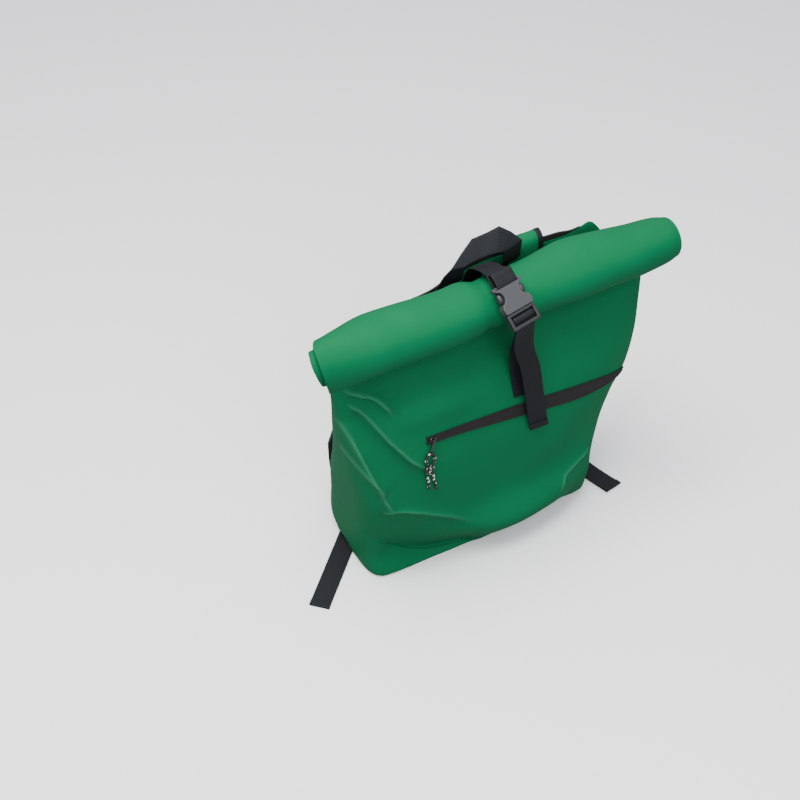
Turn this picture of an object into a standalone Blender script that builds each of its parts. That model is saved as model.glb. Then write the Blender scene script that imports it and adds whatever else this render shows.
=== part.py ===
"""A soft rolltop backpack that stands on its base, with its straps.

Metres, +Z up, front at -Y. The origin is the middle of the base, on the floor.
Left and right are as seen from the front.
"""

import math
from collections import namedtuple

import bmesh
import bpy
from mathutils import Vector
from mathutils.bvhtree import BVHTree

# Bag cloth
BASE_WIDTH = 0.312
BASE_DEPTH = 0.133
NECK_WIDTH = 0.436
NECK_HEIGHT = 0.3475
SEAM_HEIGHT = 0.060
CLOTH = 0.0018
GAP = 0.0003
SEAM_GAP = 0.0016

# Rolled closure: the flat neck turned forward on itself
ROLL_FORWARD = 0.067
ROLL_RISE = 0.0320
ROLL_RADIUS = 0.0346
ROLL_LAYER = 0.0028
ROLL_PITCH = 0.0088
ROLL_TURNS = 1.7

# Webbing and hard parts
WEB_WIDTH = 0.025
WEB = 0.0014
STRAP_PAD = 0.009
STRAP_WIDTH = 0.056
BUCKLE_WIDTH = 0.034
BUCKLE_LENGTH = 0.050
BUCKLE_THICK = 0.0105
LOCK_WIDTH = 0.033
LOCK_LENGTH = 0.026
LOCK_THICK = 0.0036
LOCK_SEAT = 0.0020
ZIP_WIDTH = 0.017
ZIP_THICK = 0.0012
PULL_WIDTH = 0.0036
PULL_LENGTH = 0.017
CORD = 0.0030
YOKE = 0.0020
YOKE_LEAN = 0.002
BINDING_HEIGHT = 0.008

GREEN = (0.020, 0.170, 0.075)
BLACK = (0.016, 0.018, 0.021)
PLASTIC = (0.030, 0.032, 0.036)
METAL = (0.30, 0.30, 0.32)

COLUMNS = 28
ROWS = 22
BAND_STEP = 0.0075
HALF_WIDTH = BASE_WIDTH / 2
HALF_DEPTH = BASE_DEPTH / 2
NECK_Y = -ROLL_FORWARD + ROLL_RADIUS - ROLL_LAYER / 2
ROLL_Z = NECK_HEIGHT + ROLL_RISE

# Each row is one level section. Height is a share of the neck's height, right and left
# run from the base's half width at 0 to the neck's at 1, crease is a share of the neck's
# y, and front, back, the two side folds' radii and the cut of the rear left corner are
# shares of half the depth. The boxy columns go from a pointed lens at 2 to a box at 8.
Section = namedtuple("Section", "height right left crease front back "
                                "edge_right edge_left boxy_right boxy_left cut")
SECTIONS = [
    Section(0.000, -0.04, 0.04, 0.00, 0.917, 0.917, 0.22, 0.22, 8.0, 8.0, 0.770),
    Section(0.010, 0.03, 0.11, 0.00, 0.977, 0.977, 0.24, 0.24, 8.0, 8.0, 0.750),
    Section(0.040, 0.05, 0.15, 0.00, 1.023, 1.000, 0.25, 0.25, 7.0, 7.0, 0.480),
    Section(0.115, 0.04, 0.19, 0.00, 1.083, 1.000, 0.25, 0.25, 6.0, 6.0, 0.160),
    Section(0.230, -0.02, 0.25, 0.30, 1.105, 1.053, 0.25, 0.25, 4.5, 5.0, 0.000),
    Section(0.374, 0.15, 0.35, 0.71, 0.970, 1.113, 0.16, 0.22, 2.9, 4.5, 0.000),
    Section(0.500, 0.38, 0.44, 1.01, 0.850, 1.053, 0.13, 0.18, 2.3, 3.6, 0.000),
    Section(0.590, 0.64, 0.49, 1.12, 0.782, 1.008, 0.12, 0.15, 2.1, 3.1, 0.000),
    Section(0.719, 0.76, 0.56, 1.21, 0.639, 0.812, 0.11, 0.11, 2.0, 2.5, 0.000),
    Section(0.863, 0.81, 0.60, 1.21, 0.361, 0.526, 0.09, 0.09, 1.9, 2.1, 0.000),
    Section(0.950, 0.88, 0.80, 1.09, 0.135, 0.256, 0.07, 0.07, 2.0, 2.0, 0.000),
    Section(0.990, 0.97, 0.96, 1.00, 0.070, 0.070, 0.066, 0.066, 2.0, 2.0, 0.000),
    Section(1.000, 0.98, 0.96, 1.00, 0.068, 0.068, 0.066, 0.066, 2.0, 2.0, 0.000),
]
CUT_LIE = (-0.7036, 0.7106)

# Creases of the front cloth, pressed in (minus) or raised (plus). Across is a share of
# the base's half width, height a share of the neck's, depth and spread of the half depth.
Fold = namedtuple("Fold", "across height to_across to_height depth spread")
FOLDS = [
    Fold(-1.02, 0.66, -0.62, 0.50, 0.075, 0.13),
    Fold(-1.00, 0.55, -0.66, 0.40, -0.070, 0.13),
    Fold(-0.98, 0.44, -0.58, 0.20, 0.080, 0.12),
    Fold(-1.00, 0.34, -0.74, 0.14, -0.070, 0.11),
    Fold(-0.78, 0.125, -0.16, 0.150, 0.060, 0.11),
    Fold(-0.62, 0.80, -0.30, 0.60, -0.050, 0.16),
    Fold(1.05, 0.52, 0.80, 0.22, -0.060, 0.14),
    Fold(0.30, 0.86, 0.80, 0.66, -0.045, 0.16),
    Fold(-0.48, 0.150, 0.74, 0.150, 0.400, 0.50),
    Fold(-0.44, 0.000, 0.84, 0.000, -0.200, 0.25),
]

# The roll's size along its length: along is a share of half the neck's width.
Station = namedtuple("Station", "along radius")
ROLL_STATIONS = [
    Station(-1.00, 0.91), Station(-0.90, 0.96), Station(-0.55, 0.99),
    Station(-0.30, 0.97), Station(-0.06, 0.91), Station(0.10, 0.94),
    Station(0.45, 0.98), Station(0.80, 0.94), Station(0.93, 0.88), Station(1.00, 0.77),
]


def clear_scene():
    """Remove every object before the model is made."""
    for thing in list(bpy.data.objects):
        bpy.data.objects.remove(thing, do_unlink=True)


def material(name, colour, roughness, metallic=0.0):
    """One Principled material."""
    made = bpy.data.materials.new(name)
    made.use_nodes = True
    shader = made.node_tree.nodes["Principled BSDF"]
    shader.inputs["Base Color"].default_value = (*colour, 1.0)
    shader.inputs["Roughness"].default_value = roughness
    shader.inputs["Metallic"].default_value = metallic
    return made


def new_object(name, mesh, colour, roughness=0.7, metallic=0.0):
    """Link a mesh as one named sub-part with its own material."""
    thing = bpy.data.objects.new(name, mesh)
    mesh.materials.append(material(name, colour, roughness, metallic))
    PARTS.objects.link(thing)
    return thing


def solidify(thing, thickness, offset):
    """Give an open surface its thickness."""
    wall = thing.modifiers.new("wall", "SOLIDIFY")
    wall.thickness = thickness
    wall.offset = offset
    wall.use_even_offset = True
    wall.thickness_clamp = 0.0


def smooth_value(rows, key, field, at):
    """Read one column of a table at any place, on a smooth curve through its rows."""
    places = [getattr(row, key) for row in rows]
    values = [getattr(row, field) for row in rows]
    if at <= places[0]:
        return values[0]
    if at >= places[-1]:
        return values[-1]
    slot = max(i for i, place in enumerate(places) if place <= at)
    slot = min(slot, len(rows) - 2)

    def slope(i):
        low, high = max(i - 1, 0), min(i + 1, len(rows) - 1)
        return (values[high] - values[low]) / (places[high] - places[low])

    span = places[slot + 1] - places[slot]
    t = (at - places[slot]) / span
    start, end = values[slot], values[slot + 1]
    a, b = slope(slot) * span, slope(slot + 1) * span
    return ((2 * t**3 - 3 * t**2 + 1) * start + (t**3 - 2 * t**2 + t) * a
            + (3 * t**2 - 2 * t**3) * end + (t**3 - t**2) * b)


def through(rows, step):
    """A smooth curve through rows of numbers whose first three are a point."""
    fine = []
    for i in range(len(rows) - 1):
        before, start = rows[max(i - 1, 0)], rows[i]
        end, after = rows[i + 1], rows[min(i + 2, len(rows) - 1)]
        pieces = max(1, round((Vector(end[:3]) - Vector(start[:3])).length / step))
        for k in range(pieces):
            t = k / pieces
            fine.append([0.5 * (2 * p1 + (p2 - p0) * t + (2 * p0 - 5 * p1 + 4 * p2 - p3) * t**2
                                + (3 * p1 - p0 - 3 * p2 + p3) * t**3)
                         for p0, p1, p2, p3 in zip(before, start, end, after)])
    fine.append(list(rows[-1]))
    return fine


# Bag body and bottom panel

def fold_push(x, z):
    """How far the front cloth stands out at a place, from the table of folds."""
    push = 0.0
    for fold in FOLDS:
        start = Vector((fold.across * HALF_WIDTH, fold.height * NECK_HEIGHT))
        end = Vector((fold.to_across * HALF_WIDTH, fold.to_height * NECK_HEIGHT))
        run = end - start
        share = (Vector((x, z)) - start).dot(run) / run.length_squared
        share = min(max(share, 0.0), 1.0)
        away = (Vector((x, z)) - start - run * share).length
        ridge = math.exp(-((away / (fold.spread * HALF_DEPTH)) ** 2))
        push += fold.depth * HALF_DEPTH * ridge * math.sin(math.pi * (0.12 + 0.76 * share))
    return push


def section_loop(z):
    """One closed level outline of the bag's outside at a height."""
    at = z / NECK_HEIGHT

    def column(field):
        return smooth_value(SECTIONS, "height", field, at)

    spare = NECK_WIDTH / 2 - HALF_WIDTH
    right = HALF_WIDTH + column("right") * spare
    left = HALF_WIDTH + column("left") * spare
    middle, half = (right - left) / 2, (right + left) / 2
    crease = column("crease") * NECK_Y
    edges = column("edge_left") * HALF_DEPTH, column("edge_right") * HALF_DEPTH
    boxes = column("boxy_left"), column("boxy_right")
    corner = abs(CUT_LIE[0]) * left + CUT_LIE[1] * (crease + column("back") * HALF_DEPTH)
    limit = corner - column("cut") * HALF_DEPTH

    def outline(share, reach):
        toward = (share + 1) / 2
        edge = edges[0] + (edges[1] - edges[0]) * toward
        boxy = boxes[0] + (boxes[1] - boxes[0]) * toward
        past = max(abs(share) * half - (half - edge), 0.0) / edge
        rim = edge * math.sqrt(max(1.0 - past * past, 0.0))
        crown = max(1.0 - abs(share) ** boxy, 0.0) ** (1.0 / boxy)
        return rim + (reach * HALF_DEPTH - edge) * crown

    loop = []
    for side, reach in ((-1, column("front")), (1, column("back"))):
        for i in range(COLUMNS):
            share = math.sin(math.pi * (i / COLUMNS - 0.5)) * -side
            x = middle + share * half
            y = crease + side * outline(share, reach)
            if side < 0:
                y -= fold_push(x, z)
            past = CUT_LIE[0] * x + CUT_LIE[1] * y - limit
            if past > 0:
                x -= CUT_LIE[0] * past
                y -= CUT_LIE[1] * past
            loop.append((x, y, z))
    return loop


def loft(loops, bottom):
    """A skin through closed loops of as many points each."""
    skin = bmesh.new()
    rings = [[skin.verts.new(point) for point in loop] for loop in loops]
    count = len(rings[0])
    for low, high in zip(rings, rings[1:]):
        for i in range(count):
            k = (i + 1) % count
            skin.faces.new((low[i], low[k], high[k], high[i]))
    if bottom:
        skin.faces.new(list(reversed(rings[0])))
    bmesh.ops.recalc_face_normals(skin, faces=skin.faces)
    mesh = bpy.data.meshes.new("skin")
    skin.to_mesh(mesh)
    skin.free()
    mesh.shade_smooth()
    return mesh


def make_bag():
    """The cloth tube from the bottom seam to the neck, and the shallow bottom panel."""
    span = NECK_HEIGHT - SEAM_HEIGHT
    heights = [SEAM_HEIGHT + span * i / (ROWS - 1) for i in range(ROWS)]
    body = new_object("bag_body", loft([section_loop(z) for z in heights], False), GREEN)
    solidify(body, CLOTH, -1.0)
    top = SEAM_HEIGHT - SEAM_GAP
    levels = [top * share for share in (0.0, 0.04, 0.13, 0.30, 0.62, 1.0)]
    panel = new_object("bottom_panel", loft([section_loop(z) for z in levels], True), GREEN)
    solidify(panel, CLOTH, -1.0)
    return body


# Rolled closure

def roll_centre_radius(x):
    """The roll's outside radius at a place along its length."""
    along = x / (NECK_WIDTH / 2)
    return ROLL_RADIUS * smooth_value(ROLL_STATIONS, "along", "radius", along)


def make_roll():
    """The neck's two layers, turned forward into a spiral that is open at both ends."""
    across = 16
    per_turn = 14
    turns = int(ROLL_TURNS * per_turn)
    skin = bmesh.new()
    lines = []
    for i in range(across + 1):
        x = NECK_WIDTH / 2 * math.sin(math.pi * (i / across - 0.5))
        outer = roll_centre_radius(x) - ROLL_LAYER / 2
        line = [(x, NECK_Y, NECK_HEIGHT + SEAM_GAP), (x, NECK_Y, NECK_HEIGHT + ROLL_RISE / 2)]
        for k in range(turns + 1):
            turn = k / per_turn
            reach = outer - ROLL_PITCH * turn
            angle = 2 * math.pi * turn
            y = -ROLL_FORWARD + reach * math.cos(angle)
            line.append((x, y, ROLL_Z + reach * math.sin(angle)))
        lines.append([skin.verts.new(point) for point in line])
    for low, high in zip(lines, lines[1:]):
        for k in range(len(low) - 1):
            skin.faces.new((low[k], low[k + 1], high[k + 1], high[k]))
    mesh = bpy.data.meshes.new("roll")
    skin.to_mesh(mesh)
    skin.free()
    mesh.shade_smooth()
    roll = new_object("roll_top", mesh, GREEN)
    solidify(roll, ROLL_LAYER, 0.0)


# Flat strips: webbing, tapes and padded straps

def strip(name, edges, thickness, colour, offset=0.0, lanes=1):
    """A flat band between pairs of edge points, with its thickness."""
    skin = bmesh.new()
    rails = []
    for start, end in edges:
        start, end = Vector(start), Vector(end)
        rails.append([skin.verts.new(start.lerp(end, i / lanes)) for i in range(lanes + 1)])
    for low, high in zip(rails, rails[1:]):
        for i in range(lanes):
            skin.faces.new((low[i], low[i + 1], high[i + 1], high[i]))
    mesh = bpy.data.meshes.new(name)
    skin.to_mesh(mesh)
    skin.free()
    mesh.shade_smooth()
    band = new_object(name, mesh, colour)
    solidify(band, thickness, offset)
    return band


def stop(point, lie, width=WEB_WIDTH):
    """One row of a band's path: its middle, the way its width lies, and the width."""
    return (*point, *Vector(lie).normalized(), width)


def band_edges(stops, step=BAND_STEP):
    """Edge pairs of a band along its stops."""
    pairs = []
    for row in through(stops, step):
        half = Vector(row[3:6]).normalized() * (row[6] / 2)
        pairs.append((Vector(row[:3]) - half, Vector(row[:3]) + half))
    return pairs


def surface_tree(thing):
    """A search tree on the finished surface of a sub-part."""
    return BVHTree.FromObject(thing, bpy.context.evaluated_depsgraph_get())


def lay_on(tree, x, z, side, lift):
    """The point that lies a lift off the bag at x and z, in front (-1) or behind (1)."""
    start = Vector((x, side * 2 * BASE_DEPTH, z))
    hit, normal, _face, _length = tree.ray_cast(start, Vector((0, -side, 0)))
    return hit + normal * lift


# Front zip, its slider, pull and cord

# Across is a share of the bag's width there, from its middle at 0 to a side at 1, height
# of the neck's height, and width of the zip's width.
Reach = namedtuple("Reach", "across height width")
ZIP_LINE = [
    Reach(-0.558, 0.676, 0.45), Reach(-0.248, 0.668, 0.60), Reach(0.039, 0.655, 0.85),
    Reach(0.314, 0.636, 1.00), Reach(0.594, 0.612, 0.95), Reach(0.815, 0.588, 0.60),
    Reach(0.934, 0.576, 0.26),
]
ZIP_LIFT = 0.0014
ZIP_STEPS = 30


def zip_place(across):
    """The zip's x and z at a share of the bag's width."""
    height = smooth_value(ZIP_LINE, "across", "height", across)
    side = smooth_value(SECTIONS, "height", "left" if across < 0 else "right", height)
    reach = HALF_WIDTH + side * (NECK_WIDTH / 2 - HALF_WIDTH)
    return across * reach, height * NECK_HEIGHT


def make_zip(tree):
    """The dark zip tape that lies across the front cloth."""
    pairs = []
    first, last = ZIP_LINE[0].across, ZIP_LINE[-1].across
    for i in range(ZIP_STEPS + 1):
        across = first + (last - first) * i / ZIP_STEPS
        x, z = zip_place(across)
        half = smooth_value(ZIP_LINE, "across", "width", across) * ZIP_WIDTH / 2
        pairs.append((lay_on(tree, x, z - half, -1, ZIP_LIFT),
                      lay_on(tree, x, z + half, -1, ZIP_LIFT)))
    strip("zip_tape", pairs, ZIP_THICK, BLACK)


def block(name, size, centre, colour, roughness, metallic, bevel):
    """A small block with rounded edges."""
    box = bmesh.new()
    bmesh.ops.create_cube(box, size=1.0)
    bmesh.ops.scale(box, vec=size, verts=box.verts)
    bmesh.ops.translate(box, vec=centre, verts=box.verts)
    mesh = bpy.data.meshes.new(name)
    box.to_mesh(mesh)
    box.free()
    thing = new_object(name, mesh, colour, roughness, metallic)
    rounded = thing.modifiers.new("edges", "BEVEL")
    rounded.width = bevel
    rounded.segments = 1
    return thing


SLIDER_LENGTH = 0.009
SLIDER_WIDTH = 0.0075
SLIDER_THICK = 0.0030
PULL_THICK = 0.0012
PULL_HOLE = 0.0026
KNOT_WIDTH = 0.0100
KNOT_HEIGHT = 0.0115
KNOT_THICK = 0.0070
STRAND_SPREAD = 0.0034
LOOP_LENGTH = 0.0105
END_LENGTH = 0.0150


def tube(name, points, radius):
    """A round cord along a smooth curve."""
    curve = bpy.data.curves.new(name, "CURVE")
    curve.dimensions = "3D"
    curve.bevel_depth = radius
    curve.bevel_resolution = 2
    curve.use_fill_caps = True
    spline = curve.splines.new("POLY")
    spline.points.add(len(points) - 1)
    for target, point in zip(spline.points, points):
        target.co = (*point, 1.0)
    thing = bpy.data.objects.new(name, curve)
    curve.materials.append(material(name, BLACK, 0.8))
    PARTS.objects.link(thing)
    return thing


def make_zip_pull(tree):
    """The slider at the zip's left end, its flat pull, and a knotted cord through it."""
    x, z = zip_place(ZIP_LINE[0].across)
    x += SLIDER_LENGTH * 0.75
    seat = lay_on(tree, x, z, -1, ZIP_LIFT + ZIP_THICK / 2 + GAP * 3)
    out = Vector((0, -1, 0))
    slider = seat + out * (SLIDER_THICK / 2)
    block("zip_slider", (SLIDER_LENGTH, SLIDER_THICK, SLIDER_WIDTH), slider, METAL, 0.35, 1.0,
          GAP * 2)
    pull_top = z + SLIDER_WIDTH / 2 - PULL_WIDTH
    front = slider.y - SLIDER_THICK / 2 - GAP - PULL_THICK / 2
    middle = Vector((x, front, pull_top - PULL_LENGTH / 2))
    block("zip_pull", (PULL_WIDTH, PULL_THICK, PULL_LENGTH), middle, METAL, 0.4, 1.0, GAP)
    foot = pull_top - PULL_LENGTH
    knot_top = foot - LOOP_LENGTH + PULL_HOLE
    knot_foot = knot_top - KNOT_HEIGHT
    knot = lay_on(tree, x, knot_top - KNOT_HEIGHT / 2, -1, KNOT_THICK / 2 + GAP * 3)
    side = STRAND_SPREAD / 2 + CORD / 4
    clear = PULL_WIDTH / 2 + GAP + CORD / 2
    top = foot - GAP - CORD / 2
    lean = (front + knot.y) / 2
    loop = [(x - side, knot.y, knot_top + GAP * 3),
            (x - clear, lean, knot_top + LOOP_LENGTH * 0.35),
            (x - clear * 0.7, front, top - CORD * 0.3), (x, front, top),
            (x + clear * 0.7, front, top - CORD * 0.3),
            (x + clear, lean, knot_top + LOOP_LENGTH * 0.35),
            (x + side, knot.y, knot_top + GAP * 3)]
    tube("pull_cord_loop", through(loop, CORD * 1.2), CORD / 2)
    ball = bmesh.new()
    bmesh.ops.create_uvsphere(ball, u_segments=12, v_segments=8, radius=0.5)
    for vert in ball.verts:
        vert.co = (vert.co.x * KNOT_WIDTH, vert.co.y * KNOT_THICK, vert.co.z * KNOT_HEIGHT)
        vert.co += knot
    mesh = bpy.data.meshes.new("knot")
    ball.to_mesh(mesh)
    ball.free()
    mesh.shade_smooth()
    new_object("pull_cord_knot", mesh, BLACK)
    for word, turn in (("left", -1), ("right", 1)):
        foot_x = x + turn * (side + CORD * 0.6)
        start = (x + turn * side, knot.y, knot_foot + GAP)
        half = lay_on(tree, foot_x, knot_foot - END_LENGTH / 2, -1, CORD / 2 + GAP * 4)
        end = lay_on(tree, foot_x, knot_foot - END_LENGTH, -1, CORD / 2 + GAP * 4)
        tube(f"pull_cord_end_{word}", through([start, half, end], CORD), CORD / 2)


# Closure buckle on the roll, with the strap from behind and the strap from the front

BUCKLE_X = -0.0160
BUCKLE_LEAN = 0.241
BUCKLE_TURN = math.radians(42.0)
SOCKET_SHARE = 0.66
SLOT = 0.0050
BAR = 0.0036
PLUG_SHARE = 0.72
CORNER = 0.0020
WAIST = 0.64
SHOULDER = 0.80


def buckle_frame():
    """The buckle's middle and its axes: along it downward, across it and outward."""
    out = Vector((0, -math.cos(BUCKLE_TURN), math.sin(BUCKLE_TURN)))
    down = Vector((0, -math.sin(BUCKLE_TURN), -math.cos(BUCKLE_TURN)))
    down = (down + Vector((BUCKLE_LEAN, 0, 0))).normalized()
    across = out.cross(down).normalized()
    reach = roll_centre_radius(BUCKLE_X) + 2 * WEB + 3 * GAP + BUCKLE_THICK / 2
    middle = Vector((BUCKLE_X, -ROLL_FORWARD, ROLL_Z)) + out * reach
    return middle, down, across, out


def extruded(name, outline, thickness, frame, colour, hole=None):
    """A flat outline in the buckle's plane, with a slot through it, given thickness."""
    middle, down, across, out = frame
    curve = bpy.data.curves.new(name, "CURVE")
    curve.dimensions = "2D"
    curve.fill_mode = "BOTH"
    curve.extrude = thickness / 2
    for path in (outline, hole):
        if path:
            spline = curve.splines.new("POLY")
            spline.points.add(len(path) - 1)
            spline.use_cyclic_u = True
            for target, (u, v) in zip(spline.points, path):
                target.co = (u, v, 0.0, 1.0)
    shape = bpy.data.objects.new(name, curve)
    PARTS.objects.link(shape)
    bpy.context.view_layer.update()
    view = bpy.context.evaluated_depsgraph_get()
    mesh = bpy.data.meshes.new_from_object(shape.evaluated_get(view))
    bpy.data.objects.remove(shape)
    plate = bmesh.new()
    plate.from_mesh(mesh)
    bmesh.ops.remove_doubles(plate, verts=plate.verts, dist=0.00001)
    for vert in plate.verts:
        u, v, w = vert.co
        vert.co = middle + across * u - down * v + out * w
    plate.to_mesh(mesh)
    plate.free()
    return new_object(name, mesh, colour, 0.45)


def box_path(wide, low, high):
    """A rectangle's corners in the buckle's plane."""
    return [(-wide / 2, low), (wide / 2, low), (wide / 2, high), (-wide / 2, high)]


def make_buckle():
    """The side-release buckle: the socket above, the plug with its slot below."""
    frame = buckle_frame()
    top, foot = BUCKLE_LENGTH / 2, -BUCKLE_LENGTH / 2
    split = foot + BUCKLE_LENGTH * (1 - SOCKET_SHARE)
    half = BUCKLE_WIDTH / 2
    low, high = split + (top - split) * 0.30, split + (top - split) * 0.70
    side = [(half * 0.94, split), (half * 0.98, low)]
    for i in range(6):
        dip = (SHOULDER - WAIST) * math.sin(math.pi * i / 5)
        side.append((half * (SHOULDER - dip), low + CORNER + (high - low - 2 * CORNER) * i / 5))
    side += [(half * 0.96, high), (half, top - BAR - CORNER), (half * 0.94, top)]
    outline = side + [(-u, v) for u, v in reversed(side)]
    slot = box_path(WEB_WIDTH + 4 * GAP, top - BAR - SLOT, top - BAR)
    extruded("buckle_socket", outline, BUCKLE_THICK, frame, PLASTIC, slot)
    plug_top = split - GAP
    plug = [(half * 0.88, foot), (half * 0.94, foot + CORNER / 2), (half * 0.94, foot + 3 * CORNER),
            (half * 0.90, plug_top)]
    outline = plug + [(-u, v) for u, v in reversed(plug)]
    slot = box_path(WEB_WIDTH + 4 * GAP, foot + BAR, plug_top - CORNER * 1.1)
    extruded("buckle_plug", outline, BUCKLE_THICK * PLUG_SHARE, frame, PLASTIC, slot)
    return frame, top, foot


# The closure strap's way from its seam to the socket: back from the roll's axis, up from
# the neck, in roll radii, and sideways in webbing widths.
Rise = namedtuple("Rise", "side back up")
CLOSURE_LINE = [
    Rise(0.20, 1.46, 0.10), Rise(0.18, 1.40, 0.95), Rise(0.14, 1.06, 1.62),
    Rise(0.08, 0.45, 1.98), Rise(0.02, -0.05, 2.14),
]
TURN_CLEAR = GAP * 2 + WEB / 2
LEAD = 0.010
LEAD_SAG = 0.0011
EASE = 0.0006


def bar_turn(frame, edge, inward, half_thick):
    """The stops of webbing that turns round a bar whose outer edge is at a place."""
    middle, down, across, out = frame
    stops = []
    inner = edge + inward * (BAR + TURN_CLEAR)
    reach = half_thick + TURN_CLEAR
    for along, off in ((edge + inward * BAR / 2, reach), (inner - inward * EASE, reach * 0.96),
                       (inner, reach * 0.75), (inner, 0.0), (inner, -reach * 0.75),
                       (inner - inward * EASE, -reach * 0.96),
                       (edge + inward * BAR / 2, -reach)):
        stops.append(stop(middle - down * along + out * off, across))
    return stops


def make_closure_strap(frame, top):
    """The strap that is sewn behind the roll and comes over it to the buckle's socket."""
    middle, down, across, out = frame
    stops = []
    for row in CLOSURE_LINE:
        point = (BUCKLE_X + row.side * WEB_WIDTH, -ROLL_FORWARD + row.back * ROLL_RADIUS,
                 NECK_HEIGHT + row.up * ROLL_RADIUS)
        stops.append(stop(point, (1, 0.0, 0)))
    turn = bar_turn(frame, top, -1, BUCKLE_THICK / 2)
    reach = BUCKLE_THICK / 2 + TURN_CLEAR
    stops.append(stop(middle - down * (top + LEAD) + out * (reach - LEAD_SAG), across))
    stops.append(stop(middle - down * (top + LEAD / 5) + out * reach, across))
    stops += turn
    stops.append(stop(middle - down * (top + LEAD / 5) - out * reach, across))
    stops.append(stop(middle - down * (top + LEAD) - out * (reach - LEAD_SAG), across))
    strip("closure_strap", band_edges(stops), WEB, BLACK)


# The loose end hangs down the front to the right: across in half base widths, height in
# neck heights, and the webbing's lift off the cloth.
Hang = namedtuple("Hang", "across height lift")
TAIL_LINE = [
    Hang(0.085, 0.860, 0.0340), Hang(0.135, 0.770, 0.0180), Hang(0.175, 0.700, 0.0100),
    Hang(0.220, 0.620, 0.0056), Hang(0.262, 0.548, 0.0032),
]
SEWN_LINE = [
    Hang(0.130, 0.710, 0.0014), Hang(0.110, 0.780, 0.0060), Hang(0.070, 0.860, 0.0205),
]


def make_front_strap(frame, foot, tree):
    """The strap that is sewn to the front, turns round the plug's bar and hangs loose."""
    middle, down, across, out = frame
    half_thick = PLUG_SHARE * BUCKLE_THICK / 2
    turn = bar_turn(frame, foot, 1, half_thick)

    def hung(row):
        x, z = row.across * HALF_WIDTH, row.height * NECK_HEIGHT
        return stop(lay_on(tree, x, z, -1, row.lift), (1, 0, -0.05))

    stops = [hung(row) for row in SEWN_LINE]
    reach = half_thick + TURN_CLEAR
    stops.append(stop(middle - down * (foot - LEAD * 1.4) - out * (reach + LEAD_SAG), across))
    stops.append(stop(middle - down * (foot - LEAD * 0.3) - out * reach, across))
    stops += list(reversed(turn))
    stops.append(stop(middle - down * (foot - LEAD * 0.3) + out * reach, across))
    stops.append(stop(middle - down * (foot - LEAD * 1.4) + out * (reach - EASE), across))
    stops += [hung(row) for row in TAIL_LINE]
    strip("front_strap", band_edges(stops), WEB, BLACK)


# Back yoke with its binding, and the grab handle

Edge = namedtuple("Edge", "across top")
YOKE_TOPS = [
    Edge(-1.00, 0.955), Edge(-0.62, 1.030), Edge(-0.30, 1.052), Edge(0.10, 1.068),
    Edge(0.50, 1.082), Edge(0.76, 1.098), Edge(0.90, 1.112), Edge(1.00, 1.060),
]
YOKE_HALF = NECK_WIDTH * 0.394
YOKE_FOOT = NECK_HEIGHT * 0.82
YOKE_STEPS = 22


def yoke_y(tree, x):
    """Where the yoke stands: straight up from the back of the bag."""
    return lay_on(tree, x, YOKE_FOOT, 1, YOKE / 2 + GAP * 4).y


def yoke_top(x):
    """The height of the yoke's top edge."""
    return NECK_HEIGHT * smooth_value(YOKE_TOPS, "across", "top", x / YOKE_HALF)


def make_yoke(tree):
    """The upright cloth behind the neck, and the dark tape along its top."""
    pairs = []
    for i in range(YOKE_STEPS + 1):
        x = YOKE_HALF * (2 * i / YOKE_STEPS - 1)
        y = yoke_y(tree, x)
        pairs.append(((x, y, YOKE_FOOT), (x, y + YOKE_LEAN, yoke_top(x))))
    strip("back_yoke", pairs, YOKE, GREEN, lanes=3)
    pairs = []
    for i in range(YOKE_STEPS + 1):
        x = YOKE_HALF * (-0.60 + 1.36 * i / YOKE_STEPS)
        y = yoke_y(tree, x) + YOKE_LEAN
        low = yoke_top(x) + GAP * 3
        pairs.append(((x, y, low), (x, y - YOKE / 2, low + BINDING_HEIGHT)))
    strip("yoke_binding", pairs, YOKE * 0.8, BLACK)


# The handle's inner and outer edge: across is a share of its half width, up of its rise,
# and forward of the width of the webbing that stands before the yoke's face.
Grip = namedtuple("Grip", "inner inner_up inner_forward outer outer_up outer_forward")
HANDLE_EDGES = [
    Grip(-0.52, 0.00, 0.00, -1.00, 0.00, 0.00),
    Grip(-0.52, 0.12, 0.06, -1.00, 0.12, 0.06),
    Grip(-0.52, 0.35, 0.46, -1.00, 0.33, 0.42),
    Grip(-0.50, 0.52, 0.68, -0.97, 0.46, 0.55),
    Grip(-0.34, 0.64, 0.92, -0.72, 0.68, 0.66),
    Grip(-0.14, 0.70, 1.06, -0.40, 0.92, 0.70),
    Grip(0.10, 0.72, 1.08, 0.02, 1.00, 0.73),
    Grip(0.36, 0.70, 1.00, 0.44, 0.95, 0.68),
    Grip(0.52, 0.62, 0.86, 0.82, 0.76, 0.63),
    Grip(0.57, 0.50, 0.68, 1.00, 0.52, 0.58),
    Grip(0.57, 0.35, 0.46, 1.02, 0.34, 0.42),
    Grip(0.57, 0.12, 0.06, 1.02, 0.12, 0.06),
    Grip(0.57, 0.00, 0.00, 1.02, 0.00, 0.00),
]
HANDLE_HALF = 0.052
HANDLE_RISE = 0.085
HANDLE_FOOT = NECK_HEIGHT + WEB * 3


def make_handle(tree):
    """The folded webbing grab handle, sewn to the front of the yoke."""
    pairs = []
    for row in HANDLE_EDGES:
        pair = []
        for across, up, forward in (row[:3], row[3:]):
            x = across * HANDLE_HALF
            lean = (HANDLE_FOOT - YOKE_FOOT) / (yoke_top(x) - YOKE_FOOT) * YOKE_LEAN
            seat = yoke_y(tree, x) + lean - (YOKE + WEB) / 2 - GAP
            pair.append((x, seat - forward * WEB_WIDTH, HANDLE_FOOT + up * HANDLE_RISE))
        pairs.append(pair)
    strip("grab_handle", pairs, WEB, BLACK)


# Shoulder straps, their adjusters, lower webbing and tails

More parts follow.
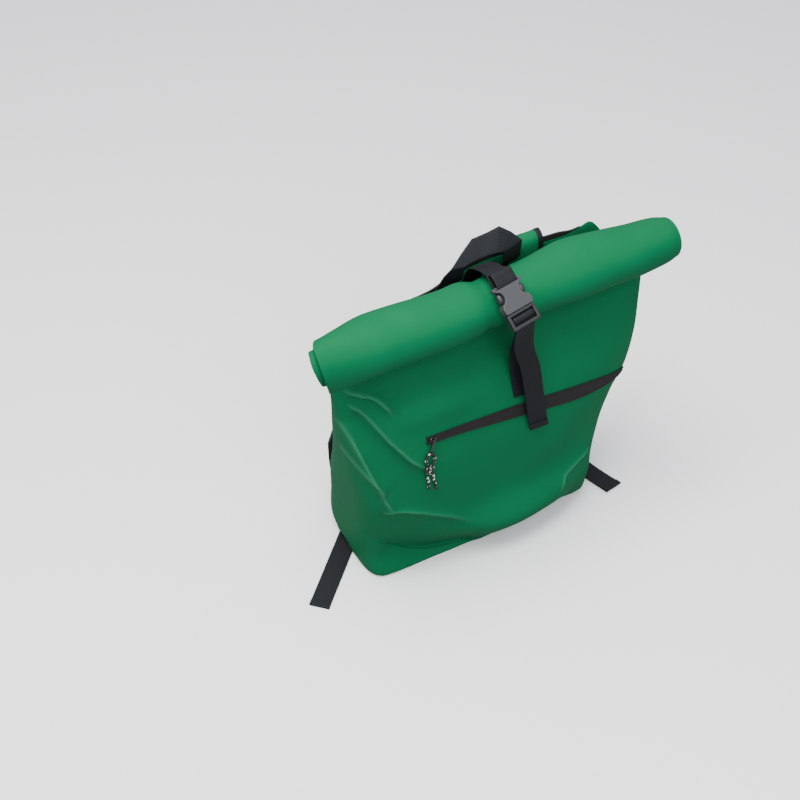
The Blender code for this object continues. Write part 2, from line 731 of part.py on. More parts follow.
# A pad's middle line: across is a share of half the base's width, back of half its depth
# behind the yoke, up of the neck's height, and width of the strap's width.
Pad = namedtuple("Pad", "across back up width")
PAD_LINES = {
    "left": [
        Pad(0.462, 0.00, 0.878, 0.86), Pad(0.468, 0.08, 0.938, 0.88),
        Pad(0.481, 0.25, 0.961, 0.92), Pad(0.500, 0.41, 0.932, 0.96),
        Pad(0.545, 0.62, 0.835, 0.98), Pad(0.615, 0.90, 0.662, 0.96),
        Pad(0.705, 1.06, 0.504, 0.80), Pad(0.808, 1.06, 0.394, 0.62),
    ],
    "right": [
        Pad(0.462, 0.00, 0.978, 0.86), Pad(0.468, 0.08, 1.053, 0.88),
        Pad(0.481, 0.25, 1.073, 0.92), Pad(0.500, 0.40, 1.024, 0.96),
        Pad(0.545, 0.61, 0.906, 0.98), Pad(0.615, 0.88, 0.705, 0.96),
        Pad(0.705, 1.06, 0.518, 0.80), Pad(0.808, 1.06, 0.400, 0.62),
    ],
}
PAD_TURN = 0.38
PAD_STEP = 0.018
ANCHOR_ACROSS = 0.808
ANCHOR_RISE = 0.003
LOCK_SAG = 0.003
FLOOR_LIFT = WEB / 2 + GAP * 2

# The loose webbing below the adjusters: across is a share of half the base's width, back of
# half its depth, up of the seam's height, and the last three are the way its width lies.
Tail = namedtuple("Tail", "across back up lie_x lie_y lie_z")
TAILS = {
    "left": [Tail(-0.795, 1.47, 0.54, 1, 0.12, 0), Tail(-0.735, 1.33, 0.06, 0.85, 0.40, 0),
             Tail(-0.744, 0.887, 0, 0.7036, -0.7106, 0), Tail(-1.006, 0.271, 0, 0.7036, -0.7106, 0),
             Tail(-1.526, -0.935, 0, 0.7036, -0.7106, 0)],
    "right": [Tail(0.960, 1.50, 0.54, 1, 0, 0), Tail(1.070, 1.37, 0.06, 1, -0.1, 0),
              Tail(1.100, 0.752, 0, 1, 0, 0), Tail(1.100, -0.301, 0, 1, 0.15, 0),
              Tail(1.180, -1.203, 0.036, 1, 0.12, 0.04)],
}


def make_shoulder_strap(word, side, tree):
    """A padded strap with its adjuster, the webbing to the base and the loose tail."""
    stops = []
    for i, pad in enumerate(PAD_LINES[word]):
        turn = side * PAD_TURN * max(0.0, (i - 4) / 3)
        x = side * pad.across * HALF_WIDTH
        root = yoke_y(tree, x) + YOKE_LEAN + (YOKE + STRAP_PAD) / 2 + GAP * 2
        point = (x, root + pad.back * HALF_DEPTH, pad.up * NECK_HEIGHT)
        stops.append(stop(point, (1, 0, turn), pad.width * STRAP_WIDTH))
    edges = band_edges(stops, PAD_STEP)
    strip(f"shoulder_strap_{word}", edges, STRAP_PAD, GREEN, lanes=2)
    end = (edges[-1][0] + edges[-1][1]) / 2
    slant = (end - (edges[-2][0] + edges[-2][1]) / 2).normalized()
    out = Vector((1, 0, side * PAD_TURN)).cross(slant).normalized()
    across = out.cross(slant)
    lock = end + slant * (LOCK_SEAT + LOCK_LENGTH / 2)
    top, foot = LOCK_LENGTH / 2, -LOCK_LENGTH / 2
    outline = box_path(LOCK_WIDTH, foot, top)
    slot = box_path(WEB_WIDTH + 4 * GAP, foot + BAR, top - 2 * BAR)
    frame = (lock, slant, across, out)
    extruded(f"strap_adjuster_{word}", outline, LOCK_THICK, frame, PLASTIC, slot)
    turn = bar_turn((lock, slant, -across, out), foot, 1, LOCK_THICK / 2)
    anchor = lay_on(tree, side * ANCHOR_ACROSS * HALF_WIDTH, SEAM_HEIGHT + ANCHOR_RISE, 1,
                    WEB / 2 + GAP * 6)
    below = lock + slant * (LOCK_LENGTH / 2 + WEB * 4)
    stops = [stop(anchor, (1, 0, 0)), stop(anchor.lerp(lock, 0.5) - out * LOCK_SAG, (1, 0, 0)),
             stop(below - out * LOCK_SAG, -across)]
    stops += list(reversed(turn))
    stops.append(stop(below + out * LOCK_SAG, -across))
    for row in TAILS[word]:
        point = (row.across * HALF_WIDTH, row.back * HALF_DEPTH, row.up * SEAM_HEIGHT + FLOOR_LIFT)
        stops.append(stop(point, row[3:]))
    strip(f"lower_webbing_{word}", band_edges(stops), WEB, BLACK)


clear_scene()
PARTS = bpy.data.collections.new("rolltop_backpack")
bpy.context.scene.collection.children.link(PARTS)
bag = make_bag()
make_roll()
bpy.context.view_layer.update()
bag_tree = surface_tree(bag)
make_zip(bag_tree)
make_zip_pull(bag_tree)
buckle, socket_top, plug_foot = make_buckle()
make_closure_strap(buckle, socket_top)
make_front_strap(buckle, plug_foot, bag_tree)
make_yoke(bag_tree)
make_handle(bag_tree)
make_shoulder_strap("left", -1, bag_tree)
make_shoulder_strap("right", 1, bag_tree)
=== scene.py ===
import math
from collections import namedtuple

import bmesh
import bpy
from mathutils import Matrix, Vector, noise
from mathutils.bvhtree import BVHTree


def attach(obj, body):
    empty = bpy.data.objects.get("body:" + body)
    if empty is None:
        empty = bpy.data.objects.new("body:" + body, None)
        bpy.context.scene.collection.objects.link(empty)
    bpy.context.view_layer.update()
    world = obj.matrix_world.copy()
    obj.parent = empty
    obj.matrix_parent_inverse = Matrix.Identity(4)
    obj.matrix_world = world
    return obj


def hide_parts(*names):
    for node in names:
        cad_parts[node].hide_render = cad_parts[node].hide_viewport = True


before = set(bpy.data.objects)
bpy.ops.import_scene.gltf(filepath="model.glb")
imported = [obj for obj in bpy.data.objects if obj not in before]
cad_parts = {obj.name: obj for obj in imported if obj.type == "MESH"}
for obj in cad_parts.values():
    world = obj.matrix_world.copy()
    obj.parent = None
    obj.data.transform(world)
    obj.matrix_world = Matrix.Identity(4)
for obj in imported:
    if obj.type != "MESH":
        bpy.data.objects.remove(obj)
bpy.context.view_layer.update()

# The camera stands above the bag, in front of it and to its left, and looks down at the roll
# and the front. It has a plain 58.5 mm lens, with no shift.
camera_lens = bpy.data.cameras.new("camera")
camera_lens.lens = 58.5
camera_lens.sensor_width = 36.0
camera = bpy.data.objects.new("camera", camera_lens)
camera.location = (-0.6369, -0.9542, 1.2384)
camera.rotation_euler = (math.radians(47.215), 0.0, math.radians(-29.767))
bpy.context.collection.objects.link(camera)
bpy.context.scene.camera = camera

# The pull cord: 3 mm braided cord, black with light flecks, doubled through the hole in the
# zip's pull and tied in one overhand knot, below which its two cut ends hang.
CORD = 0.0030
PULL_FOOT = (-0.1042, -0.0912, 0.2190)
KNOT = Vector((-0.1062, -0.0932, 0.1962))
STRANDS = {
    "left": [PULL_FOOT, (-0.1060, -0.0912, 0.2184), (-0.1084, -0.0916, 0.2160),
             (-0.1101, -0.0920, 0.2122), (-0.1100, -0.0926, 0.2078), (-0.1088, -0.0930, 0.2035),
             (-0.1078, -0.0934, 0.1990), (-0.1084, -0.0936, 0.1940), (-0.1092, -0.0934, 0.1890),
             (-0.1086, -0.0930, 0.1840), (-0.1070, -0.0926, 0.1790), (-0.1064, -0.0924, 0.1740),
             (-0.1066, -0.0922, 0.1690), (-0.1060, -0.0920, 0.1650)],
    "right": [PULL_FOOT, (-0.1024, -0.0912, 0.2184), (-0.1002, -0.0916, 0.2158),
              (-0.0992, -0.0920, 0.2120), (-0.1001, -0.0926, 0.2076), (-0.1022, -0.0930, 0.2035),
              (-0.1040, -0.0934, 0.1990), (-0.1034, -0.0936, 0.1940), (-0.1020, -0.0934, 0.1890),
              (-0.1010, -0.0930, 0.1840), (-0.1002, -0.0926, 0.1788), (-0.0990, -0.0924, 0.1736),
              (-0.0976, -0.0922, 0.1684), (-0.0970, -0.0920, 0.1634), (-0.0962, -0.0918, 0.1590)],
}


def finished(name, shape, finish, node_names):
    """Link a finished shape as one piece that stands for its nodes of the frame."""
    mesh = bpy.data.meshes.new(name)
    shape.to_mesh(mesh)
    shape.free()
    piece = bpy.data.objects.new(name, mesh)
    mesh.materials.append(finish)
    mesh.shade_smooth()
    bpy.context.collection.objects.link(piece)
    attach(piece, "root")
    if node_names:
        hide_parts(*node_names)
    return piece


def flowing(rows, step):
    """A smooth curve through rows of numbers, whose first three are a point."""
    fine = []
    for i in range(len(rows) - 1):
        before, start = rows[max(i - 1, 0)], rows[i]
        end, after = rows[i + 1], rows[min(i + 2, len(rows) - 1)]
        pieces = max(1, round((Vector(end[:3]) - Vector(start[:3])).length / step))
        for k in range(pieces):
            t = k / pieces
            fine.append([0.5 * (2 * b + (c - a) * t + (2 * a - 5 * b + 4 * c - d) * t * t
                                + (3 * b - a - 3 * c + d) * t ** 3)
                         for a, b, c, d in zip(before, start, end, after)])
    fine.append(list(rows[-1]))
    return fine


def braided(points, radius, around=10, ring=False):
    """A round cord along points, with a UV map that runs round it and along it."""
    tube = bmesh.new()
    last = len(points) - 1
    bmesh.ops.create_grid(tube, x_segments=around, y_segments=last, size=0.5, calc_uvs=False)
    uv = tube.loops.layers.uv.new("run")
    lengths = [0.0]
    for start, end in zip(points, points[1:]):
        lengths.append(lengths[-1] + (Vector(end) - Vector(start)).length)
    place = {}
    for vert in tube.verts:
        place[vert] = (vert.co.x + 0.5, round((vert.co.y + 0.5) * last))
    for face in tube.faces:
        for loop in face.loops:
            turn, i = place[loop.vert]
            loop[uv].uv = (turn, lengths[i] / (2 * math.pi * radius))
    side = Vector((0, 1, 0))
    frames = []
    for i in range(last + 1):
        low, high = (i - 1, i + 1) if 0 < i < last else (max(i - 1, 0), min(i + 1, last))
        if ring and i in (0, last):
            low, high = last - 1, 1
        along = (Vector(points[high]) - Vector(points[low])).normalized()
        side = (side - along * side.dot(along)).normalized()
        frames.append((Vector(points[i]), side.copy(), along.cross(side)))
    for vert, (turn, i) in place.items():
        middle, out, across = frames[i]
        angle = 2 * math.pi * turn
        vert.co = middle + (out * math.cos(angle) + across * math.sin(angle)) * radius
    bmesh.ops.remove_doubles(tube, verts=tube.verts, dist=0.00001)
    if not ring:
        rims = [edge for edge in tube.edges if edge.is_boundary]
        bmesh.ops.holes_fill(tube, edges=rims, sides=0)
    bmesh.ops.recalc_face_normals(tube, faces=tube.faces)
    return tube


def new_finish(name):
    """A new material, with its node tree and its main shader."""
    finish = bpy.data.materials.new(name)
    finish.use_nodes = True
    return finish, finish.node_tree, finish.node_tree.nodes["Principled BSDF"]


def added(tree, kind, values=(), **settings):
    """A new node of a tree, with its settings and with its inputs' values by name."""
    node = tree.nodes.new(f"ShaderNode{kind}")
    for setting, value in settings.items():
        setattr(node, setting, value)
    for name, value in dict(values).items():
        node.inputs[name].default_value = value
    return node


def wired(tree, *wires):
    """Join nodes: each wire is a node, its output, the next node and its input."""
    for start, output, end, socket in wires:
        tree.links.new(start.outputs[output], end.inputs[socket])


def cord_finish():
    """Black braid with light flecks that follow the cord's UV map."""
    finish, tree, shader = new_finish("flecked_cord")
    shader.inputs["Roughness"].default_value = 0.75
    run = added(tree, "UVMap", uv_map="run")
    size = added(tree, "Mapping", {"Scale": (3.0, 2.0, 1.0)})
    flecks = added(tree, "TexVoronoi", {"Scale": 1.0, "Randomness": 0.55})
    shade = added(tree, "ValToRGB")
    light, dark = shade.color_ramp.elements
    light.color = (0.85, 0.84, 0.80, 1)
    light.position = 0.30
    dark.color = (0.012, 0.012, 0.014, 1)
    dark.position = 0.42
    weave = added(tree, "TexWave", {"Scale": 6.0}, bands_direction="DIAGONAL")
    bump = added(tree, "Bump", {"Strength": 0.5, "Distance": 0.0003})
    wired(tree, (run, "UV", size, "Vector"), (size, "Vector", flecks, "Vector"),
          (flecks, "Distance", shade, "Fac"), (shade, "Color", shader, "Base Color"),
          (run, "UV", weave, "Vector"), (weave, "Fac", bump, "Height"),
          (bump, "Normal", shader, "Normal"))
    return finish


flecked = cord_finish()
KNOT_STEPS = 96
KNOT_REACH = (0.00175, 0.0022, 0.00165)
knot_path = []
for i in range(KNOT_STEPS + 1):
    t = 2 * math.pi * i / KNOT_STEPS
    turn = (math.sin(t) + 2 * math.sin(2 * t), math.sin(3 * t), math.cos(t) - 2 * math.cos(2 * t))
    knot_path.append(KNOT + Vector([share * reach for share, reach in zip(turn, KNOT_REACH)]))
knot = finished("pull_knot", braided(knot_path, CORD * 0.47, 10, True), flecked,
                ["pull_cord_knot"])
for word, gone in (("left", ["pull_cord_loop", "pull_cord_end_left"]),
                   ("right", ["pull_cord_end_right"])):
    run = [tuple(row) for row in flowing(STRANDS[word], 0.0015)]
    strand = finished(f"pull_strand_{word}", braided(run, CORD / 2), flecked, gone)
    reach = sum((Vector(b) - Vector(a)).length for a, b in zip(run, run[1:]))

# The studio: a wide pale floor that throws little light back, a soft sky, one broad light
# above on the left, and a weaker one in front.
FLOOR_HALF = 6.0
floor_shape = bmesh.new()
bmesh.ops.create_grid(floor_shape, x_segments=1, y_segments=1, size=FLOOR_HALF)
floor_mesh = bpy.data.meshes.new("floor")
floor_shape.to_mesh(floor_mesh)
floor_shape.free()
floor = bpy.data.objects.new("floor", floor_mesh)
bpy.context.collection.objects.link(floor)
floor_paint, floor_tree, floor_shader = new_finish("floor_paint")
FLOOR_SEEN = (0.97, 0.97, 0.98, 1)
FLOOR_SHED = (0.24, 0.24, 0.25, 1)
floor_tone = added(floor_tree, "Mix", {"A": FLOOR_SHED, "B": FLOOR_SEEN}, data_type="RGBA")
floor_sight = added(floor_tree, "LightPath")
wired(floor_tree, (floor_sight, "Is Camera Ray", floor_tone, "Factor"),
      (floor_tone, "Result", floor_shader, "Base Color"))
floor_shader.inputs["Roughness"].default_value = 0.6
floor_mesh.materials.append(floor_paint)

sky = bpy.data.worlds.new("sky")
sky.use_nodes = True
sky.node_tree.nodes["Background"].inputs["Color"].default_value = (0.93, 0.95, 1.0, 1)
sky.node_tree.nodes["Background"].inputs["Strength"].default_value = 0.84
bpy.context.scene.world = sky
LIGHT_AIM = Vector((0.0, 0.0, 0.2))
LIGHT_SIZE = 1.4
for name, spot, power in (("key_light", (-0.75, -0.25, 2.5), 100),
                          ("front_light", (-0.55, -1.9, 1.9), 38)):
    lamp = bpy.data.lights.new(name, "AREA")
    lamp.size = LIGHT_SIZE
    lamp.energy = power
    light = bpy.data.objects.new(name, lamp)
    light.location = spot
    light.rotation_euler = (Vector(spot) - LIGHT_AIM).to_track_quat("Z", "Y").to_euler()
    bpy.context.collection.objects.link(light)

# The bag itself: thin coated polyester, cut as a tube that is boxed at the base and pressed
# flat at the neck, with soft creases where the empty front has sunk at the lower left.
HALF_WIDTH = 0.156
HALF_DEPTH = 0.0665
NECK_HALF = 0.218
NECK_HEIGHT = 0.3475
NECK_Y = -0.0338
Seam = namedtuple("Seam", "across front back")
SEAMS = [
    Seam(-1.00, 0.086, 0.086), Seam(-0.95, 0.078, 0.082), Seam(-0.80, 0.050, 0.072),
    Seam(-0.65, 0.025, 0.064), Seam(-0.45, 0.010, 0.060), Seam(-0.20, 0.007, 0.060),
    Seam(0.20, 0.008, 0.060), Seam(0.60, 0.014, 0.060), Seam(0.85, 0.036, 0.060),
    Seam(1.00, 0.060, 0.060),
]
CLOTH = 0.0018
GIRTH = 0.92
CUT_LIE = (-0.7036, 0.7106)
CORNER_FADE = 20
FRONT_SHARE = 0.75
Section = namedtuple("Section", "height right left crease front back "
                                "edge_right edge_left boxy_right boxy_left cut")
SECTIONS = [
    Section(0.000, -0.04, 0.04, 0.00, 0.917, 0.917, 0.22, 0.22, 8.0, 8.0, 0.770),
    Section(0.010, 0.03, 0.11, 0.00, 0.977, 0.977, 0.24, 0.24, 8.0, 8.0, 0.750),
    Section(0.040, 0.05, 0.15, 0.00, 1.023, 1.000, 0.25, 0.25, 7.0, 7.0, 0.480),
    Section(0.115, 0.04, 0.19, 0.00, 1.083, 1.000, 0.25, 0.25, 6.0, 6.0, 0.160),
    Section(0.230, -0.02, 0.25, 0.30, 1.105, 1.053, 0.25, 0.25, 4.5, 5.0, 0.000),
    Section(0.374, 0.15, 0.35, 0.71, 0.970, 1.113, 0.16, 0.22, 2.9, 4.5, 0.000),
    Section(0.500, 0.38, 0.44, 1.01, 0.850, 1.053, 0.13, 0.18, 2.3, 3.6, 0.000),
    Section(0.590, 0.64, 0.49, 1.12, 0.782, 1.008, 0.12, 0.15, 2.1, 3.1, 0.000),
    Section(0.719, 0.76, 0.60, 1.21, 0.639, 0.812, 0.11, 0.11, 2.0, 2.5, 0.000),
    Section(0.863, 0.81, 0.66, 1.21, 0.361, 0.526, 0.09, 0.09, 1.9, 2.1, 0.000),
    Section(0.950, 0.88, 0.70, 1.09, 0.135, 0.256, 0.07, 0.07, 2.0, 2.0, 0.000),
    Section(0.990, 0.97, 0.68, 1.00, 0.070, 0.070, 0.066, 0.066, 2.0, 2.0, 0.000),
    Section(1.000, 0.98, 0.68, 1.00, 0.068, 0.068, 0.066, 0.066, 2.0, 2.0, 0.000),
]
Swell = namedtuple("Swell", "points height width")
SWELLS = [
    Swell([(-0.075, 0.052), (0.115, 0.052)], 0.0266, 0.0333),
    Swell([(0.020, 0.000), (0.131, 0.000)], -0.0085, 0.0166),
    Swell([(-0.150, 0.270), (-0.030, 0.274)], 0.0070, 0.0200),
]
Fold = namedtuple("Fold", "points height upper lower")
FOLDS = [
    Fold([(-0.190, 0.3180), (-0.175, 0.3142), (-0.1655, 0.3108), (-0.159, 0.3060),
          (-0.1535, 0.2996), (-0.1465, 0.2895), (-0.1396, 0.2740)], 0.0075, 0.016, 0.006),
    Fold([(-0.196, 0.2820), (-0.1860, 0.2500), (-0.1750, 0.2130), (-0.1590, 0.1650),
          (-0.1460, 0.1330)], 0.0062, 0.006, 0.016),
    Fold([(-0.196, 0.2400), (-0.1800, 0.2120), (-0.1680, 0.1920), (-0.1560, 0.1700)],
         0.0040, 0.010, 0.005),
    Fold([(-0.188, 0.3020), (-0.1780, 0.2968), (-0.1715, 0.2880), (-0.1635, 0.2740),
          (-0.1504, 0.2510),
          (-0.1294, 0.2200), (-0.1144, 0.2025), (-0.1000, 0.1890)], 0.0072, 0.022, 0.007),
    Fold([(0.135, 0.1020), (0.1198, 0.0965), (0.0900, 0.0857), (0.0811, 0.0575)],
         0.0030, 0.010, 0.014),
    Fold([(-0.162, 0.1450), (-0.154, 0.1460), (-0.1345, 0.1380), (-0.1100, 0.1240),
          (-0.0730, 0.0980), (-0.0400, 0.0720)], 0.0042, 0.016, 0.004),
]
Tuck = namedtuple("Tuck", "across top seam deep")
TUCKS = [
    Tuck(-0.180, 0.118, 0.086, 0.000), Tuck(-0.166, 0.143, 0.083, 0.006),
    Tuck(-0.154, 0.146, 0.074, 0.012), Tuck(-0.1345, 0.138, 0.048, 0.018),
    Tuck(-0.110, 0.124, 0.027, 0.020), Tuck(-0.073, 0.098, 0.012, 0.017),
    Tuck(-0.040, 0.072, 0.010, 0.012), Tuck(-0.015, 0.058, 0.010, 0.000),
]


def read_column(rows, key, field, at):
    """Read one column of a table at any place, on a smooth curve through its rows."""
    places = [getattr(row, key) for row in rows]
    values = [getattr(row, field) for row in rows]
    if at <= places[0]:
        return values[0]
    if at >= places[-1]:
        return values[-1]
    slot = min(max(i for i, place in enumerate(places) if place <= at), len(rows) - 2)

    def slope(i):
        low, high = max(i - 1, 0), min(i + 1, len(rows) - 1)
        return (values[high] - values[low]) / (places[high] - places[low])

    span = places[slot + 1] - places[slot]
    t = (at - places[slot]) / span
    a, b = slope(slot) * span, slope(slot + 1) * span
    return ((2 * t**3 - 3 * t**2 + 1) * values[slot] + (t**3 - 2 * t**2 + t) * a
            + (3 * t**2 - 2 * t**3) * values[slot + 1] + (t**3 - t**2) * b)


def along_line(points, here):
    """How far a place is from a line through points, on which side, and where along it."""
    best = None
    for i, (start, end) in enumerate(zip(points, points[1:])):
        start, run = Vector(start), Vector(end) - Vector(start)
        share = min(max((here - start).dot(run) / run.length_squared, 0.0), 1.0)
        away = here - start - run * share
        if best is None or away.length < best[0]:
            above = run.x * away.y - run.y * away.x > 0
            best = (away.length, above, (i + share) / (len(points) - 1))
    return best


def eased(share):
    """A smooth step from 0 to 1."""
    share = min(max(share, 0.0), 1.0)
    return share * share * (3 - 2 * share)


def crease_push(x, z):
    """How far the front cloth stands out at a place: swells, sharp folds and the tuck."""
    push = 0.0
    here = Vector((x, z))
    for swell in SWELLS:
        away, _above, share = along_line(swell.points, here)
        push += (swell.height * math.exp(-(away / swell.width) ** 2)
                 * math.sin(math.pi * (0.12 + 0.76 * share)))
    for fold in FOLDS:
        away, above, share = along_line(fold.points, here)
        width = fold.upper if above else fold.lower
        crest = math.exp(-away / width) + 0.55 * math.exp(-away / 0.0028)
        push += fold.height * crest * eased(min(share * 8, (1 - share) * 4))
    if TUCKS[0].across < x < TUCKS[-1].across:
        top, seam, deep = (read_column(TUCKS, "across", field, x)
                           for field in ("top", "seam", "deep"))
        push -= deep * max(0.0, min((top - z) / (top - seam), z / seam))
    push += 0.0016 * noise.noise(Vector((x * 16, z * 16, 3.0)))
    return push


def crest_highlight_mask(x, z):
    """How strongly the front cloth is painted paler at a place: a painted highlight along the folds'
    crests.
    """
    pale = 0.0
    for fold in FOLDS:
        away, _above, share = along_line(fold.points, Vector((x, z)))
        fade = eased(min(share * 12, (1 - share) * 5))
        pale = max(pale, math.exp(-(away / 0.0020) ** 2) * fade)
    return pale


def bag_point(turn, z):
    """A point of the bag's outside: turn 0 to 1 runs along the front and back again behind."""
    at = z / NECK_HEIGHT

    def column(field):
        return read_column(SECTIONS, "height", field, at)

    right = HALF_WIDTH + column("right") * (NECK_HALF - HALF_WIDTH)
    left = HALF_WIDTH + column("left") * (NECK_HALF - HALF_WIDTH)
    middle, half = (right - left) / 2, (right + left) / 2
    crease = column("crease") * NECK_Y
    side, part = (-1, turn * 2) if turn < 0.5 else (1, turn * 2 - 1)
    share = math.sin(math.pi * (part - 0.5)) * -side
    toward = (share + 1) / 2
    edge = (column("edge_left") + (column("edge_right") - column("edge_left")) * toward) * HALF_DEPTH
    boxy = column("boxy_left") + (column("boxy_right") - column("boxy_left")) * toward
    past = max(abs(share) * half - (half - edge), 0.0) / edge
    rim = edge * math.sqrt(max(1.0 - past * past, 0.0))
    crown = max(1.0 - abs(share) ** boxy, 0.0) ** (1.0 / boxy)
    reach = column("front") if side < 0 else column("back")
    x = middle + share * half
    y = crease + side * (rim + (reach * HALF_DEPTH - edge) * crown)
    if side < 0:
        y -= crease_push(x, z) * eased((1 - abs(share)) * CORNER_FADE)
    corner = abs(CUT_LIE[0]) * left + CUT_LIE[1] * (crease + column("back") * HALF_DEPTH)
    past = CUT_LIE[0] * x + CUT_LIE[1] * y - (corner - column("cut") * HALF_DEPTH)
    if past > 0:
        x -= CUT_LIE[0] * past
        y -= CUT_LIE[1] * past
    return Vector((x, y, z))


def front_dense(share):
    """Give the front, the first half of the turn, more of the columns than the back."""
    if share < FRONT_SHARE:
        return 0.5 * share / FRONT_SHARE
    return 0.5 + 0.5 * (share - FRONT_SHARE) / (1 - FRONT_SHARE)


def seam_at(turn):
    """The height of the bottom seam: it sags in front, where the bag bulges over its base."""
    side, part = (-1, turn * 2) if turn < 0.5 else (1, turn * 2 - 1)
    return read_column(SEAMS, "across", "front" if side < 0 else "back",
                       math.sin(math.pi * (part - 0.5)) * -side)


def cloth_tube(low, high, around, rows):
    """The bag's cloth from one height up to another, with a UV map in metres."""
    cloth = bmesh.new()
    bmesh.ops.create_grid(cloth, x_segments=around, y_segments=rows, size=0.5)
    uv = cloth.loops.layers.uv.new("run")
    crest_highlight = cloth.verts.layers.float.new("crest_highlight")
    spots = {}
    for vert in cloth.verts:
        turn = front_dense(vert.co.x + 0.5)
        bottom, top = low(turn % 1.0), high(turn % 1.0)
        spots[vert] = (turn, bottom + (top - bottom) * (vert.co.y + 0.5))
    for face in cloth.faces:
        for loop in face.loops:
            loop[uv].uv = (spots[loop.vert][0] * GIRTH, spots[loop.vert][1])
    for vert, (turn, z) in spots.items():
        vert.co = bag_point(turn % 1.0, z)
        # The front's fold crests get a mask for the painted highlight.
        vert[crest_highlight] = crest_highlight_mask(vert.co.x, z) if turn < 0.5 else 0.0
    bmesh.ops.remove_doubles(cloth, verts=cloth.verts, dist=0.00001)
    return cloth


GREEN = (0.0035, 0.120, 0.045, 1)
# The paler green painted along the fold crests as a painted highlight.
CREST_HIGHLIGHT = (0.045, 0.230, 0.125, 1)


def cloth_finish(name, colour):
    """Smooth polyester: a tight plain weave, a soft sheen, uneven dye and a painted highlight along
    the fold crests.
    """
    finish, tree, shader = new_finish(name)
    shader.inputs["Roughness"].default_value = 0.60
    shader.inputs["Specular IOR Level"].default_value = 0.06
    shader.inputs["Sheen Weight"].default_value = 0.01
    shader.inputs["Sheen Roughness"].default_value = 0.4
    shader.inputs["Sheen Tint"].default_value = (0.5, 0.9, 0.7, 1)
    run = added(tree, "UVMap", uv_map="run")
    place = added(tree, "TexCoord")
    cloud = added(tree, "TexNoise", {"Scale": 14.0, "Detail": 3.0})
    dull, bright = ([value * share for value in colour[:3]] + [1] for share in (0.90, 1.10))
    dye = added(tree, "Mix", {"A": dull, "B": bright}, data_type="RGBA")
    # Half of the crest mask mixes in the paler green: the painted highlight on the fold crests.
    crest_highlight = added(tree, "Attribute", attribute_name="crest_highlight")
    highlight_share = added(tree, "Math", {1: 0.5}, operation="MULTIPLY")
    crease = added(tree, "Mix", {"B": CREST_HIGHLIGHT}, data_type="RGBA")
    yarn = {"Scale": 620.0, "Distortion": 0.4}
    warp = added(tree, "TexWave", yarn, bands_direction="X")
    weft = added(tree, "TexWave", yarn, bands_direction="Y")
    woven = added(tree, "Math", operation="MULTIPLY")
    ripple = added(tree, "TexNoise", {"Scale": 55.0, "Detail": 2.0})
    threads = added(tree, "Bump", {"Strength": 0.25, "Distance": 0.0001})
    soft = added(tree, "Bump", {"Strength": 0.12, "Distance": 0.0012})
    wired(tree, (place, "Object", cloud, "Vector"), (cloud, "Fac", dye, "Factor"),
          (crest_highlight, "Fac", highlight_share, 0), (highlight_share, "Value", crease, "Factor"),
          (dye, "Result", crease, "A"), (crease, "Result", shader, "Base Color"),
          (run, "UV", warp, "Vector"), (run, "UV", weft, "Vector"),
          (warp, "Fac", woven, 0), (weft, "Fac", woven, 1), (place, "Object", ripple, "Vector"),
          (woven, "Value", threads, "Height"), (ripple, "Fac", soft, "Height"),
          (threads, "Normal", soft, "Normal"), (soft, "Normal", shader, "Normal"))
    return finish


green_cloth = cloth_finish("green_polyester", GREEN)


def walled(piece, thickness, offset):
    """Give a finished skin its wall."""
    wall = piece.modifiers.new("wall", "SOLIDIFY")
    wall.thickness = thickness
    wall.offset = offset
    wall.use_even_offset = True


body_cloth = cloth_tube(seam_at, lambda turn: NECK_HEIGHT, 300, 140)
bmesh.ops.recalc_face_normals(body_cloth, faces=body_cloth.faces)
bag = finished("bag_cloth", body_cloth, green_cloth, ["bag_body"])
walled(bag, CLOTH, -1.0)
bpy.context.view_layer.update()
bag_skin = BVHTree.FromObject(bag, bpy.context.evaluated_depsgraph_get())


def on_bag(x, z, side, lift):
    """The point that lies a lift off the bag's cloth, in front (-1) or behind (1)."""
    hit, normal, _face, _far = bag_skin.ray_cast(Vector((x, side * 0.3, z)), Vector((0, -side, 0)))
    return hit + normal * lift


# The base: the same cloth, joined to the bag by one seam just above the floor, and flat
# underneath where the bag stands on it.
base_cloth = cloth_tube(lambda turn: 0.0, lambda turn: seam_at(turn) - 0.0002, 300, 30)
bmesh.ops.holes_fill(base_cloth, sides=0, edges=[
    edge for edge in base_cloth.edges
    if edge.is_boundary and all(vert.co.z < 0.0001 for vert in edge.verts)])
bmesh.ops.recalc_face_normals(base_cloth, faces=base_cloth.faces)
base = finished("base_cloth", base_cloth, green_cloth, ["bottom_panel"])
walled(base, CLOTH, -1.0)

# The roll: the neck's two layers of the same cloth, turned forward on themselves nearly
# twice. The left end is open and shows the layers, and the strap pinches the middle.
ROLL_Y = -0.067
ROLL_Z = 0.3795
ROLL_RADIUS = 0.0346
ROLL_PITCH = 0.0088
ROLL_TURNS = 1.7
ROLL_CLOTH = 0.36
ROLL_WALL = 0.0008
ROLL_STATIONS = [(-1.00, 0.91), (-0.90, 0.96), (-0.55, 0.99), (-0.30, 0.97), (-0.06, 0.91),
                 (0.10, 0.94), (0.45, 0.98), (0.80, 0.94), (0.93, 0.88), (1.00, 0.77)]
Station = namedtuple("Station", "along radius")
STATIONS = [Station(*row) for row in ROLL_STATIONS]
RISER_SHARE = 0.06
RISER_LAP = 0.0030
Hump = namedtuple("Hump", "along height width")
ROLL_HUMPS = [Hump(0.090, 0.0070, 0.055), Hump(-0.165, 0.0035, 0.040), Hump(-0.050, 0.0022, 0.014)]
STRAP_PINCH = Hump(-0.030, 0.0026, 0.009)


def hump_rise(hump, x):
    """How high a hump stands at a place along the roll."""
    return hump.height * math.exp(-((x - hump.along) / hump.width) ** 2)


